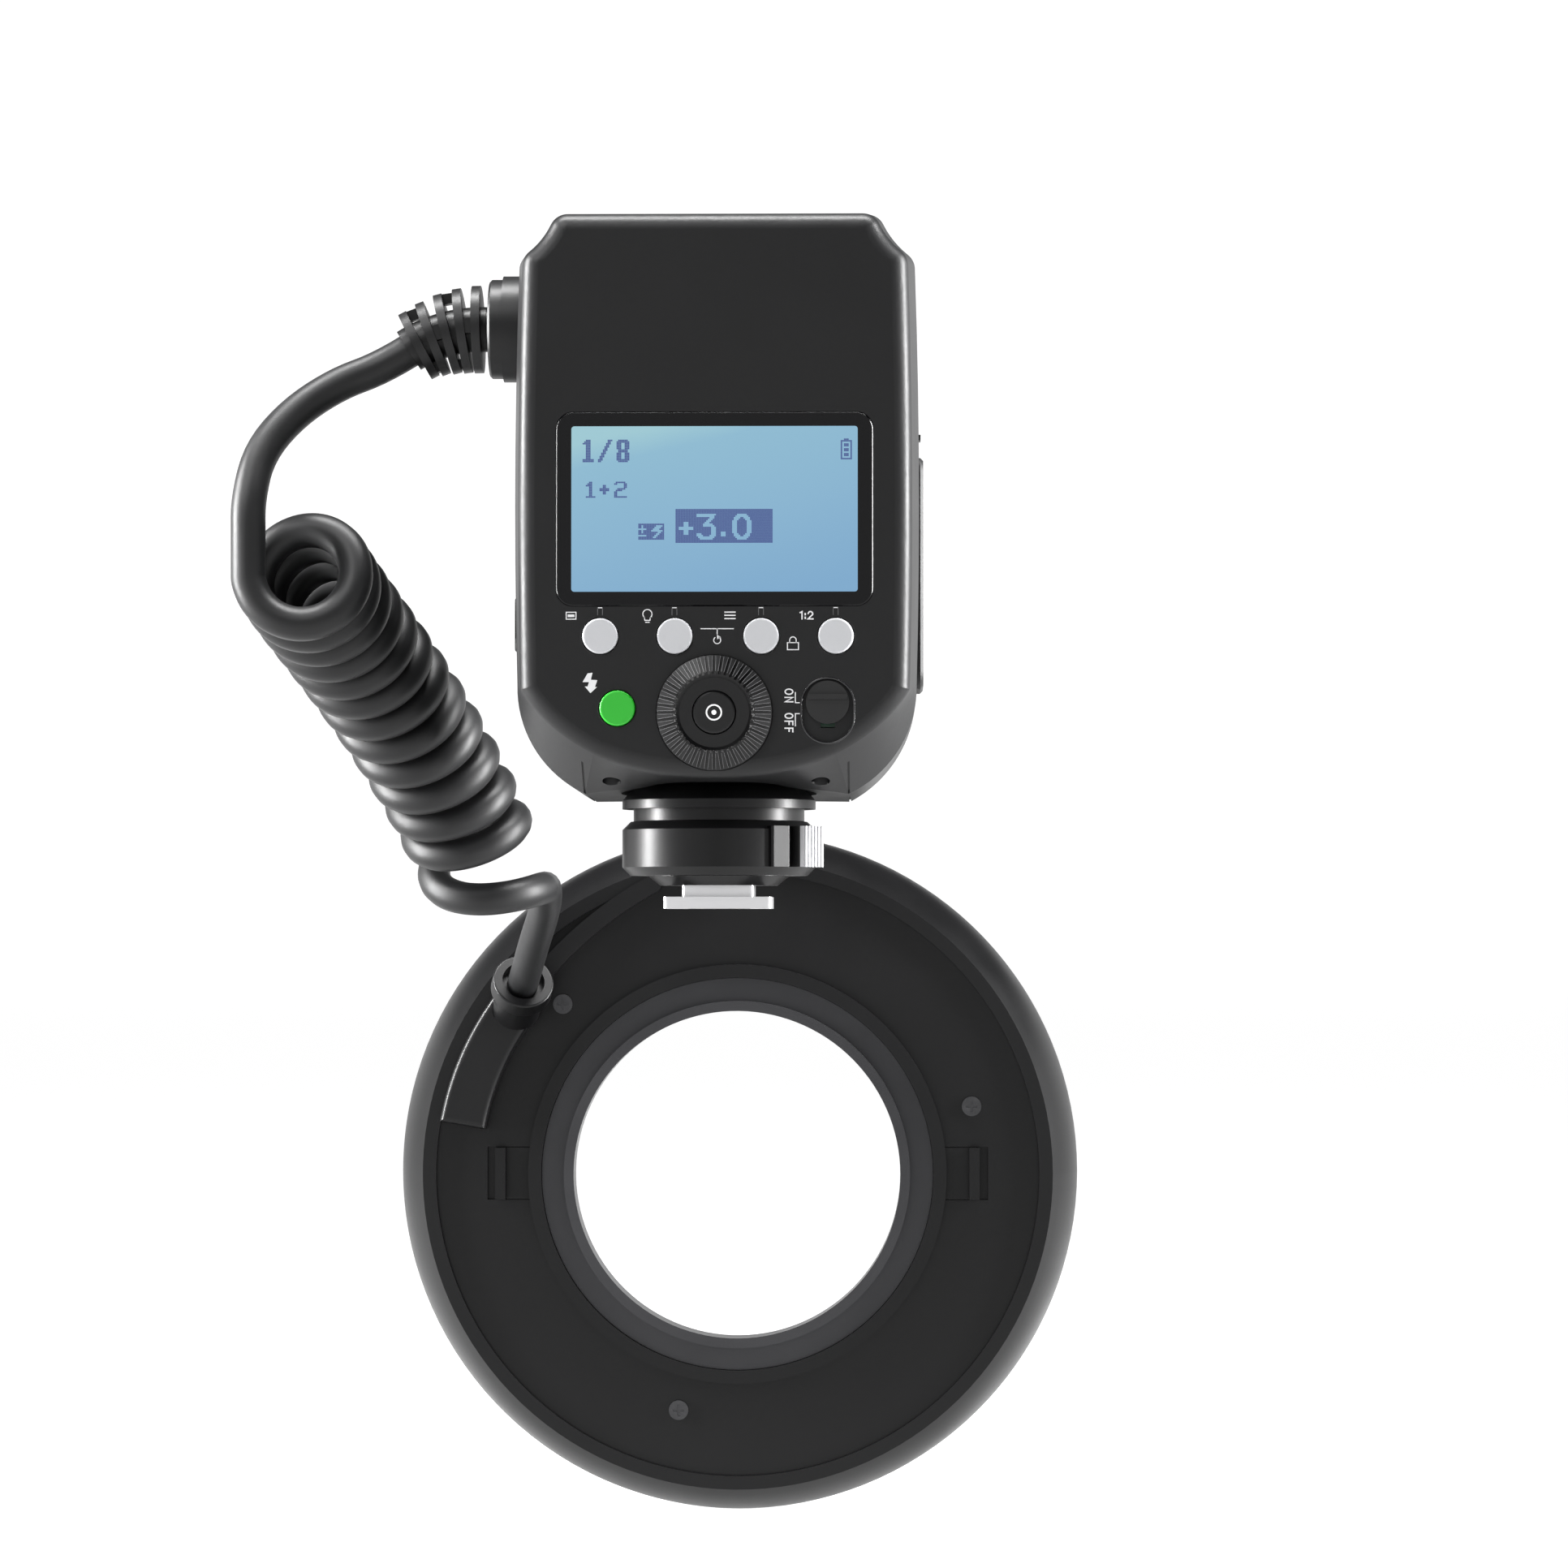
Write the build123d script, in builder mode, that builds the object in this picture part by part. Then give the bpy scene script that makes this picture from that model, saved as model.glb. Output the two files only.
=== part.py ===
"""Macro ring flash: a control unit on a shoe foot, a curly cord and a ring head.

Millimetres, +Z up. The origin is the centre of the foot's underside. The screen faces -Y
and the ring head shines along +Y.
"""

import math
import os

from build123d import *

os.makedirs("parts", exist_ok=True)

# Fits and walls shared by all pieces
running_gap = 0.07
key_gap = 0.2
seat_gap = 0.1
slide_gap = 0.15
overrun = 2.0
wall = 2.2
small_round = 0.4

# Control unit, outer form
body_top = 119.0
body_bottom = 19.0
body_depth = 50.0
body_half_width = 34.6
waist_height = 62.0
top_half_width = 27.8
shoulder_half_width = 33.9
flare_drop = 7.8
flare_hollow = 0.8
flare_round = 3.2
rear_inset = 1.5
side_foot_half_width = 34.2
base_half_width = 22.6
base_height = 19.6
arch_height = 21.2
chin_height = 21.9
chin_radius = 43.8
rear_edge_round = 3.0
front_edge_round = 3.0
rear_cover_depth = 13.0
panel_line_width = 0.35
panel_line_depth = 0.5
panel_line_length = 8.0

# Display
window_width = 53.6
window_height = 32.8
window_centre_height = 67.4
window_corner = 3.0
window_thickness = 1.3
window_proud = 0.15
display_width = 48.6
display_height = 28.2
display_corner = 1.0
display_border = 2.0
display_thickness = 2.6

# Keys of the rear face
key_diameter = 6.0
key_height = 45.9
key_places = (-19.3, -6.7, 7.9, 20.5)
key_proud = 0.8
key_dome = 0.35
key_travel = 0.6
key_flange = 0.9
key_flange_thickness = 0.8
key_stem_diameter = 2.4
test_key_place = (-16.4, 33.7)

# Dial and its centre key
dial_height = 32.9
dial_radius = 9.7
dial_proud = 2.9
dial_rim = 1.3
dial_well_depth = 0.5
dial_dish_radius = 6.8
dial_dish_depth = 0.9
dial_sleeve_radius = 5.0
dial_sleeve_length = 4.2
dial_grooves = 44
dial_groove_width = 0.5
dial_groove_depth = 0.45
set_key_radius = 3.6
set_key_proud = 2.5

# Power switch
switch_place = (19.1, 33.3)
switch_well_width = 8.6
switch_well_height = 10.7
switch_well_depth = 1.4
switch_knob_radius = 3.65
switch_travel = 2.8
switch_ridge_width = 0.9
switch_ridge_length = 6.6
switch_ridge_proud = 1.0
switch_stem_width = 2.0
switch_stem_height = 2.6

# Boards and what stands on them
board_thickness = 1.6
control_board_gap = 4.2
control_board_top = 92.0
tact_switch_radius = 1.8
post_radius = 1.8
post_places = ((-25.0, 88.0), (25.0, 88.0), (-24.6, 39.0), (25.6, 39.0))
power_bay_floor = 82.0
power_bay_roof = 112.0
capacitor_diameter = 22.0
capacitor_length = 44.0
capacitor_depth = 6.0

# Battery and its bay
battery_bottom = 38.0
battery_height = 40.0
battery_depth = 25.7
battery_centre_depth = 8.0
battery_inner_end = -17.7
battery_outer_end = 35.4
battery_corner = 3.0
battery_grooves = 4
battery_groove_pitch = 2.6
battery_groove_width = 1.0
battery_groove_depth = 0.5
contact_block_width = 12.0
contact_block_height = 10.0
contact_block_depth = 2.2
catch_width = 8.0
catch_height = 5.0
catch_thickness = 1.5
catch_travel = 2.0
catch_bottom = 79.8
catch_face = 34.6

# Port cover and sockets
port_width = 15.7
port_height = 9.7
port_centre_depth = 2.0
port_centre_height = 49.0
port_thickness = 1.6
port_face = -35.1
port_corner = 1.2
data_socket_width = 9.0
data_socket_height = 3.2
data_socket_depth_place = -1.6
sync_socket_radius = 2.6
sync_socket_bore = 1.75
sync_socket_depth_place = 6.4
socket_length = 8.0
socket_wall = 0.5

# Focus assist window
assist_width = 24.0
assist_height = 13.0
assist_centre_height = 66.0
assist_thickness = 1.4
assist_corner = 2.5

# Foot
dome_top = 22.0
dome_top_radius = 11.5
dome_radius = 16.75
dome_edge_height = 18.7
dome_bottom = 17.2
neck_radius = 14.8
core_radius = 12.5
collar_top = 15.0
collar_bottom = 5.7
collar_radius = 16.75
collar_chamfer = 1.4
cone_bottom = 4.0
cone_bottom_radius = 10.2
cone_top_radius = 12.2
shoe_width = 18.6
shoe_length = 18.0
shoe_thickness = 2.0
shoe_corner = 0.8
shoe_neck_width = 12.4
shoe_neck_length = 13.0
carrier_width = 10.6
carrier_length = 11.6
carrier_thickness = 1.2
carrier_corner = 1.0
contact_radius = 0.8
pin_recess = 0.1
contact_length = 2.4
contact_places = ((0.0, 0.0), (-3.0, -3.2), (3.0, -3.2), (-3.0, 1.6), (3.0, 1.6))
lock_pin_radius = 0.9
lock_pin_depth_place = 7.2
lock_pin_length = 7.6
lever_bottom = 7.1
lever_height = 7.0
lever_angle = 60.0
lever_reach = 19.3
lever_width = 6.4
grip_thickness = 1.0
grip_ribs = 6
grip_rib_width = 0.6
grip_rib_proud = 0.35
pad_angle = 39.5
pad_width = 4.0
pad_proud = 0.7

# Case screws under the unit
case_screw_place = (17.8, -15.8)
case_screw_radius = 1.5
case_screw_recess = 1.0
case_screw_length = 4.0

# Cord socket on the left side
gland_height = 100.7
gland_boss_end = -37.4
gland_boss_radius = 9.2
gland_disc_end = -39.8
gland_disc_radius = 8.6
gland_neck_end = -40.4
gland_neck_radius = 3.5
relief_core_radius = 3.9
relief_ring_radii = (7.6, 7.4, 7.1, 6.7, 6.3)
relief_ring_width = 1.5
relief_bar_width = 2.6
relief_bar_depth = 1.8

# Cord
cord_diameter = 6.0
cord_arc_share = 0.45
coil_mean_radius = 9.0
coil_turns = 12.52
coil_loose_turns = 1.0
coil_loosening = 0.9
coil_start = (-71.3, -14.0, 57.8)
coil_start_aim = (0.05, 0.95, -0.20)
coil_start_handle = 35.0
coil_end = (-43.0, 57.5, 1.4)
coil_end_aim = (0.27, 0.38, -0.885)
coil_end_handle = 34.0
coil_entry_run = 6.5
coil_exit_run = 7.0
upper_route = (
    (-54.0, 0.0, 97.0),
    (-59.5, 0.0, 93.5),
    (-64.6, -1.4, 88.9),
    (-71.3, -4.8, 83.0),
    (-77.8, -9.2, 76.0),
)
lower_route = (
    (-35.1, 79.3, 0.6),
    (-38.4, 92.2, -6.7),
    (-41.2, 103.5, -14.3),
)

# Boot and clamp where the cord enters the ring head
boot_radius = 5.9
boot_bore = 4.1
boot_rim = 1.6
boot_floor = 2.0
boot_neck_radius = 4.6
boot_neck_length = 6.8
clamp_offset = 9.0
clamp_start_angle = 137.0
clamp_sweep = 33.0
clamp_rise = 5.4
clamp_round = 1.2

# Adapter ring and its latches
thread_radius = 33.5
thread_length = 3.6
adapter_wall = 1.9
adapter_flange = 4.46
adapter_inset = 1.0
adapter_play = 0.2
groove_depth = 0.9
groove_width = 1.8
latch_inset = 0.3
latch_width = 10.0
latch_reach = 6.4
latch_thickness = 1.2
latch_grip = 0.66
latch_travel = 1.5
latch_tab_rise = 2.2
latch_tab_width = 2.0

# Ring head: depths run forward from the back of its hub, widths outward from the hub
ring_height = -50.9
ring_depth = 111.4
ring_width = 25.9
ring_wall = 1.8
hub_wall = 2.57
hub_rise = 2.8
seat_inset = 3.2
band_rise = 1.0
band_width = 2.6
slope_width = 5.3
slope_length = 17.8
slope_bulge = 1.3
rim_length = 2.0
bezel_length = 7.0
rib_radius = 76.0
rib_width = 3.4
rib_rise = 2.0
rib_inset = 4.4
rib_start_angle = 134.7
rib_end_angle = 106.4
ring_screw_radius = 1.9
ring_screw_shank = 1.1
ring_screw_offset = 6.7
ring_screw_start_angle = 136.0
ring_screw_count = 3
ring_screw_rise = 0.5
recess_width = 0.5
recess_depth = 0.3
standoff_offset = 9.4
standoff_wall = 1.6
standoff_height = 2.2
ring_board_inset = 1.6
ring_board_margin = 1.4
diffuser_inset = 3.8
diffuser_margin = 4.3
diffuser_thickness = 2.2
diffuser_dome = 1.0
sleeve_lap = 1.36
sleeve_wall = 1.8
front_ring_depth = 3.2
bezel_lip = 1.6
bezel_front = 1.1
bezel_tongue = 1.5
reflector_rest = 0.3
reflector_flare = 2.4
reflector_wall = 0.7
reflector_sweep = 158.0
tube_radius = 2.2
tube_inset = 7.6
tube_sweep = 166.0
tube_end_radius = 2.6
lamp_inset = 3.2
lamp_radius = 1.7
lamp_proud = 0.5
lamp_length = 4.0

# Places worked out from the sizes above
rear_y = -body_depth / 2
front_y = body_depth / 2
split_y = rear_y + rear_cover_depth
inner_y = rear_y + wall
board_y = inner_y + control_board_gap
key_radius = key_diameter / 2
chin_centre = chin_height + chin_radius
shoulder_height = body_top - flare_drop
cord_radius = cord_diameter / 2
adapter_bore = thread_radius - adapter_wall
adapter_radius = thread_radius + adapter_flange
hub_bore = adapter_radius + running_gap
hub_radius = hub_bore + hub_wall
sleeve_radius = adapter_radius - sleeve_lap
ring_radius = hub_radius + ring_width
ridge_radius = ring_radius - slope_width
band_inner_radius = ridge_radius - band_width
diffuser_inner = hub_radius + diffuser_inset
diffuser_outer = ring_radius - diffuser_margin
plate_depth = ring_depth + hub_rise
plate_inside = plate_depth + ring_wall
seat_depth = plate_depth + seat_inset
ridge_depth = plate_depth - band_rise
slope_end = ridge_depth + slope_length
rim_depth = slope_end + rim_length
front_depth = rim_depth + bezel_length
ring_board_depth = plate_inside + standoff_height
ring_axis = Axis((0, 0, ring_height), (0, 1, 0))
ring_section = Plane(origin=(0, 0, ring_height), x_dir=(1, 0, 0), z_dir=(0, 0, 1))


def rear_plane(y):
    """A plane that faces the user: its x is X and its y is Z"""
    return Plane(origin=(0, y, 0), x_dir=(1, 0, 0), z_dir=(0, -1, 0))


def ring_plane(y):
    """The same plane, centred on the ring head"""
    return Plane(origin=(0, y, ring_height), x_dir=(1, 0, 0), z_dir=(0, -1, 0))


def side_plane(x):
    """A plane that faces +X: its x is Y and its y is Z"""
    return Plane(origin=(x, 0, 0), x_dir=(0, 1, 0), z_dir=(1, 0, 0))


def polar(radius, angle):
    """A point on a circle, by its angle in degrees"""
    return (radius * math.cos(math.radians(angle)), radius * math.sin(math.radians(angle)))


def keep(piece, name):
    """Labels a finished piece and writes it"""
    piece.label = name
    export_step(piece, f"parts/{name}.step")


def chin_point(x):
    """A point of the arc that ends the rear face below"""
    return (x, chin_centre - math.sqrt(chin_radius**2 - x**2))


def mirrored(point):
    """The same point on the left side"""
    return (-point[0], point[1])


rear_foot = chin_point(side_foot_half_width - rear_inset)
side_foot = chin_point(side_foot_half_width)
corner_drop = side_foot[1] - body_bottom
corner_run = side_foot_half_width - base_half_width
corner_radius = (corner_run**2 + corner_drop**2) / (2 * corner_run)
corner_half_turn = math.asin(corner_drop / corner_radius) / 2
corner_middle = (
    side_foot_half_width - corner_radius * (1 - math.cos(corner_half_turn)),
    side_foot[1] - corner_radius * math.sin(corner_half_turn),
)


def upper_outline(foot, inset):
    """The top, the hollow flares and the bowed sides of the unit, from left foot to right foot"""
    top_corner = (top_half_width - inset / 2, body_top - inset)
    shoulder = (shoulder_half_width - inset, shoulder_height - inset / 2)
    waist = (body_half_width - inset, waist_height)
    ThreePointArc(mirrored(foot), mirrored(waist), mirrored(shoulder))
    SagittaArc(mirrored(shoulder), mirrored(top_corner), -flare_hollow)
    Line(mirrored(top_corner), top_corner)
    SagittaArc(top_corner, shoulder, -flare_hollow)
    ThreePointArc(shoulder, waist, foot)


def lower_corner(base_end):
    """The round lower corners of the unit, right and left, down to the ends of its base"""
    ThreePointArc(side_foot, corner_middle, base_end)
    ThreePointArc(mirrored(base_end), mirrored(corner_middle), mirrored(side_foot))


# Outer form of the unit: the rear face ends in a round chin, the section behind it is a little
# larger and has an arched base, and the base is flat at the front
with BuildPart() as body_form:
    with BuildSketch(rear_plane(rear_y)):
        with BuildLine():
            upper_outline(rear_foot, rear_inset)
            base_end = chin_point(base_half_width)
            arc_middle = chin_point((rear_foot[0] + base_half_width) / 2)
            ThreePointArc(rear_foot, arc_middle, base_end)
            ThreePointArc(base_end, chin_point(0), mirrored(base_end))
            ThreePointArc(mirrored(base_end), mirrored(arc_middle), mirrored(rear_foot))
        make_face()
    with BuildSketch(rear_plane(split_y)):
        with BuildLine():
            upper_outline(side_foot, 0)
            base_end = (base_half_width, base_height)
            ThreePointArc(base_end, (0, arch_height), mirrored(base_end))
            lower_corner(base_end)
        make_face()
    with BuildSketch(rear_plane(front_y)):
        with BuildLine():
            upper_outline(side_foot, 0)
            base_end = (base_half_width, body_bottom)
            Line(base_end, mirrored(base_end))
            lower_corner(base_end)
        make_face()
    loft(ruled=True)
    flare_edges = body_form.edges().filter_by(lambda edge: edge.center().Z > shoulder_height - flare_hollow)
    fillet(flare_edges.filter_by(lambda edge: edge.bounding_box().size.Y > wall), radius=flare_round)
    fillet(body_form.edges().group_by(Axis.Y)[0], radius=rear_edge_round)
    fillet(body_form.edges().group_by(Axis.Y)[-1], radius=front_edge_round)
    with BuildSketch(Plane.XY.offset(body_bottom - overrun)):
        Circle(dome_radius + key_gap)
    extrude(amount=dome_top - body_bottom + overrun, mode=Mode.SUBTRACT)


def cavity_outline(margin):
    """The room inside the rear cover, which follows the round chin, less a margin"""
    half = side_foot_half_width - rear_inset - wall - margin
    roof = power_bay_roof - margin
    with Locations((0, chin_centre)):
        Circle(chin_radius - wall - margin)
    Rectangle(2 * half, roof, align=(Align.CENTER, Align.MIN), mode=Mode.INTERSECT)
    upper_width = 2 * (top_half_width - margin)
    with Locations((0, waist_height)):
        Rectangle(upper_width, roof - waist_height, align=(Align.CENTER, Align.MIN))


# Depths of the keys, boards and display behind the rear face
display_y = inner_y + display_thickness
dial_face_y = rear_y - dial_proud
sleeve_end_y = rear_y + dial_sleeve_length
switch_floor_y = rear_y + switch_well_depth
switch_rise = switch_travel / 2
switch_x, switch_z = switch_place
key_flange_y = inner_y + key_gap
tact_y = key_flange_y + key_flange_thickness + key_travel + seat_gap + slide_gap
key_centres = [(x, key_height) for x in key_places] + [test_key_place]
case_screw_head = chin_height + case_screw_recess
case_screw_end = case_screw_head + case_screw_length
seam_start_y = split_y - panel_line_length
seam_drop = chin_point(base_half_width)[1] - base_height
seam_start_height = base_height + seam_drop * panel_line_length / rear_cover_depth + panel_line_depth

# Rear cover with its window, key, dial and switch openings
with BuildPart() as housing_rear:
    add(body_form.part)
    split(bisect_by=Plane(origin=(0, split_y, 0), z_dir=(0, -1, 0)), keep=Keep.TOP)
    with BuildSketch(rear_plane(split_y)):
        cavity_outline(0)
    extrude(amount=split_y - inner_y, mode=Mode.SUBTRACT)
    with BuildSketch(rear_plane(board_y)):
        with Locations(*post_places):
            Circle(post_radius)
    extrude(amount=board_y - inner_y)
    with BuildSketch(rear_plane(rear_y + window_thickness - window_proud)):
        with Locations((0, window_centre_height)):
            RectangleRounded(
                window_width + 2 * seat_gap, window_height + 2 * seat_gap, window_corner
            )
    extrude(amount=window_thickness + overrun, mode=Mode.SUBTRACT)
    with BuildSketch(rear_plane(inner_y)):
        with Locations((0, window_centre_height)):
            RectangleRounded(display_width, display_height, display_corner)
        with Locations(*key_centres):
            Circle(key_radius + key_gap)
        with Locations((0, dial_height)):
            Circle(dial_sleeve_radius + running_gap)
        with Locations(switch_place):
            stem_slot = switch_stem_height + switch_travel + 2 * key_gap
            Rectangle(switch_stem_width + 2 * key_gap, stem_slot)
    extrude(amount=wall + overrun, mode=Mode.SUBTRACT)
    with BuildSketch(rear_plane(rear_y + dial_well_depth)):
        with Locations((0, dial_height)):
            Circle(dial_radius + key_gap)
    extrude(amount=dial_well_depth + overrun, mode=Mode.SUBTRACT)
    with BuildSketch(rear_plane(switch_floor_y)):
        with Locations(switch_place):
            SlotOverall(switch_well_height, switch_well_width, rotation=90)
    extrude(amount=switch_well_depth + overrun, mode=Mode.SUBTRACT)
    with BuildSketch(Plane.XY.offset(body_bottom - overrun)):
        with Locations(case_screw_place, mirrored(case_screw_place)):
            Circle(case_screw_radius + seat_gap)
    extrude(amount=case_screw_end - body_bottom + overrun, mode=Mode.SUBTRACT)
    for side in (-1, 1):
        with BuildSketch(side_plane(side * base_half_width)):
            with BuildLine():
                Polyline(
                    (split_y, body_bottom - overrun),
                    (seam_start_y, body_bottom - overrun),
                    (seam_start_y, seam_start_height),
                    (split_y, base_height + panel_line_depth),
                    close=True,
                )
            make_face()
        extrude(amount=panel_line_width / 2, both=True, mode=Mode.SUBTRACT)
keep(housing_rear.part, "housing_rear")

battery_centre_height = battery_bottom + battery_height / 2
bay_end = battery_inner_end - slide_gap
catch_inner = catch_face - catch_thickness
port_inner = port_face + port_thickness
data_place = (data_socket_depth_place, port_centre_height)
sync_place = (sync_socket_depth_place, port_centre_height)
socket_end = port_inner + seat_gap + socket_length
capacitor_height = power_bay_floor + board_thickness + seat_gap + capacitor_diameter / 2

# Front housing with the battery bay, the power bay, the port recess and the cord boss
with BuildPart() as housing_front:
    add(body_form.part)
    split(bisect_by=Plane(origin=(0, split_y, 0), z_dir=(0, -1, 0)), keep=Keep.BOTTOM)
    gland_boss_start = wall - shoulder_half_width
    with BuildSketch(side_plane(gland_boss_start)):
        with Locations((0, gland_height)):
            Circle(gland_boss_radius)
    extrude(amount=gland_boss_end - gland_boss_start)
    with BuildSketch(rear_plane(front_y - wall)):
        bay_middle = (power_bay_floor + power_bay_roof) / 2
        with Locations((0, bay_middle)):
            Rectangle(2 * top_half_width, power_bay_roof - power_bay_floor)
    extrude(amount=front_y - wall - split_y, mode=Mode.SUBTRACT)
    with BuildSketch(side_plane(bay_end)):
        with Locations((battery_centre_depth, battery_centre_height)):
            RectangleRounded(
                battery_depth + 2 * slide_gap,
                battery_height + 2 * slide_gap,
                battery_corner + slide_gap,
            )
    extrude(amount=battery_outer_end - bay_end + overrun, mode=Mode.SUBTRACT)
    with BuildSketch(side_plane(bay_end - contact_block_depth)):
        with Locations((battery_centre_depth, battery_centre_height)):
            block = (contact_block_width + 2 * seat_gap, contact_block_height + 2 * seat_gap)
            Rectangle(*block)
    extrude(amount=contact_block_depth + overrun, mode=Mode.SUBTRACT)
    with BuildSketch(side_plane(catch_inner - seat_gap)):
        with Locations((battery_centre_depth, catch_bottom - slide_gap)):
            Rectangle(
                catch_width + 2 * slide_gap,
                catch_height + catch_travel + 2 * slide_gap,
                align=(Align.CENTER, Align.MIN),
            )
    extrude(amount=catch_thickness + overrun, mode=Mode.SUBTRACT)
    with BuildSketch(side_plane(port_inner + seat_gap)):
        with Locations((port_centre_depth, port_centre_height)):
            RectangleRounded(
                port_width + 2 * slide_gap, port_height + 2 * slide_gap, port_corner
            )
    extrude(amount=-port_thickness - overrun, mode=Mode.SUBTRACT)
    with BuildSketch(side_plane(socket_end)):
        with Locations(data_place):
            SlotOverall(
                data_socket_width + 2 * seat_gap, data_socket_height + 2 * seat_gap
            )
        with Locations(sync_place):
            Circle(sync_socket_radius + seat_gap)
    extrude(amount=-socket_length - overrun, mode=Mode.SUBTRACT)
    assist_y = front_y - assist_thickness - seat_gap
    with BuildSketch(rear_plane(front_y + overrun)):
        with Locations((0, assist_centre_height)):
            RectangleRounded(
                assist_width + 2 * seat_gap, assist_height + 2 * seat_gap, assist_corner
            )
    extrude(amount=front_y + overrun - assist_y, mode=Mode.SUBTRACT)
    for side in (-1, 1):
        with BuildSketch(rear_plane(front_y)):
            with Locations((side * base_half_width, body_bottom)):
                Rectangle(panel_line_width, 2 * panel_line_depth)
        extrude(amount=body_depth, mode=Mode.SUBTRACT)
keep(housing_front.part, "housing_front")

# Clear window over the display
with BuildPart() as lcd_window:
    with BuildSketch(rear_plane(rear_y + window_thickness - window_proud)):
        with Locations((0, window_centre_height)):
            RectangleRounded(window_width, window_height, window_corner)
    extrude(amount=window_thickness)
    chamfer(lcd_window.edges().group_by(Axis.Y)[0], length=window_proud)
keep(lcd_window.part, "lcd_window")

# Display module, whose glass stands in the opening of the cover
glass_rise = wall - window_thickness + window_proud - seat_gap
with BuildPart() as lcd_panel:
    with BuildSketch(rear_plane(display_y)):
        with Locations((0, window_centre_height)):
            Rectangle(display_width + 2 * display_border, display_height + 2 * display_border)
    extrude(amount=display_thickness)
    with BuildSketch(rear_plane(inner_y)):
        with Locations((0, window_centre_height)):
            RectangleRounded(
                display_width - 2 * seat_gap, display_height - 2 * seat_gap, display_corner
            )
    extrude(amount=glass_rise)
keep(lcd_panel.part, "lcd_panel")

# Control board with its switches, the dial's encoder and the slide switch
encoder_y = sleeve_end_y + seat_gap
slide_body_y = key_flange_y + key_flange_thickness + seat_gap
with BuildPart() as control_board:
    with BuildSketch(rear_plane(board_y + board_thickness)):
        cavity_outline(slide_gap)
        board_roof = power_bay_roof - control_board_top
        with Locations((0, power_bay_roof)):
            Rectangle(body_depth * 2, board_roof * 2, mode=Mode.SUBTRACT)
    extrude(amount=board_thickness)
    with BuildSketch(rear_plane(board_y)):
        with Locations(*key_centres, (0, dial_height)):
            Circle(tact_switch_radius)
    extrude(amount=board_y - tact_y)
    with BuildSketch(rear_plane(board_y)):
        with Locations((0, dial_height)):
            Circle(dial_sleeve_radius)
            Circle(set_key_radius, mode=Mode.SUBTRACT)
    extrude(amount=board_y - encoder_y)
    with BuildSketch(rear_plane(board_y)):
        with Locations(switch_place):
            Rectangle(2 * switch_stem_width, switch_stem_height + switch_travel)
    extrude(amount=board_y - slide_body_y)
keep(control_board.part, "control_board")

# Power board on the floor of the upper bay
with BuildPart() as power_board:
    with BuildSketch(Plane.XY.offset(power_bay_floor)):
        board_middle = (split_y + front_y - wall) / 2
        board_width = 2 * (top_half_width - slide_gap)
        with Locations((0, board_middle)):
            Rectangle(board_width, front_y - wall - split_y - 2 * slide_gap)
    extrude(amount=board_thickness)
keep(power_board.part, "power_board")

# Main capacitor, lying on the power board
with BuildPart() as main_capacitor:
    with BuildSketch(side_plane(-capacitor_length / 2)):
        with Locations((capacitor_depth, capacitor_height)):
            Circle(capacitor_diameter / 2)
    extrude(amount=capacitor_length)
    fillet(main_capacitor.edges().filter_by(GeomType.CIRCLE), radius=capacitor_diameter / 16)
keep(main_capacitor.part, "main_capacitor")

# Battery contacts in the end wall of the bay
blade_spread = contact_block_width / 4
with BuildPart() as battery_contacts:
    with BuildSketch(side_plane(bay_end - contact_block_depth)):
        with Locations((battery_centre_depth, battery_centre_height)):
            Rectangle(contact_block_width, contact_block_height)
    extrude(amount=contact_block_depth)
    with BuildSketch(side_plane(bay_end)):
        with Locations((battery_centre_depth, battery_centre_height)):
            with GridLocations(blade_spread, 0, 3, 1):
                Rectangle(blade_spread / 2, contact_block_height - wall)
    extrude(amount=slide_gap - running_gap)
keep(battery_contacts.part, "battery_contacts")

# Battery with its ribbed end, which slides out to the right
with BuildPart() as battery:
    with BuildSketch(side_plane(battery_inner_end)):
        with Locations((battery_centre_depth, battery_centre_height)):
            RectangleRounded(battery_depth, battery_height, battery_corner)
    extrude(amount=battery_outer_end - battery_inner_end)
    chamfer(battery.edges().group_by(Axis.X)[-1], length=battery_groove_depth)
    chamfer(battery.edges().group_by(Axis.X)[0], length=battery_groove_depth)
    with BuildSketch(side_plane(battery_outer_end - battery_groove_depth)):
        with Locations((battery_centre_depth, battery_centre_height)):
            with GridLocations(0, battery_groove_pitch, 1, battery_grooves):
                Rectangle(battery_depth / 2, battery_groove_width)
    extrude(amount=overrun, mode=Mode.SUBTRACT)
keep(battery.part, "battery")

# Catch above the battery
with BuildPart() as battery_catch:
    with BuildSketch(side_plane(catch_inner)):
        with Locations((battery_centre_depth, catch_bottom)):
            Rectangle(catch_width, catch_height, align=(Align.CENTER, Align.MIN))
    extrude(amount=catch_thickness)
    chamfer(battery_catch.edges().group_by(Axis.X)[-1], length=small_round)
    with BuildSketch(side_plane(catch_face)):
        with Locations((battery_centre_depth, catch_bottom + catch_height / 2)):
            Rectangle(catch_width / 2, battery_groove_width)
    extrude(amount=small_round)
keep(battery_catch.part, "battery_catch")

# Rubber port cover, hinged at its front edge
with BuildPart() as port_cover:
    with BuildSketch(side_plane(port_inner)):
        with Locations((port_centre_depth, port_centre_height)):
            RectangleRounded(port_width, port_height, port_corner)
    extrude(amount=-port_thickness)
    chamfer(port_cover.edges().group_by(Axis.X)[0], length=small_round)
    with BuildSketch(side_plane(port_face + small_round)):
        with Locations((port_centre_depth - port_width / 2, port_centre_height)):
            Rectangle(2 * small_round, port_height / 2)
    extrude(amount=-small_round - overrun, mode=Mode.SUBTRACT)
keep(port_cover.part, "port_cover")

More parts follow.
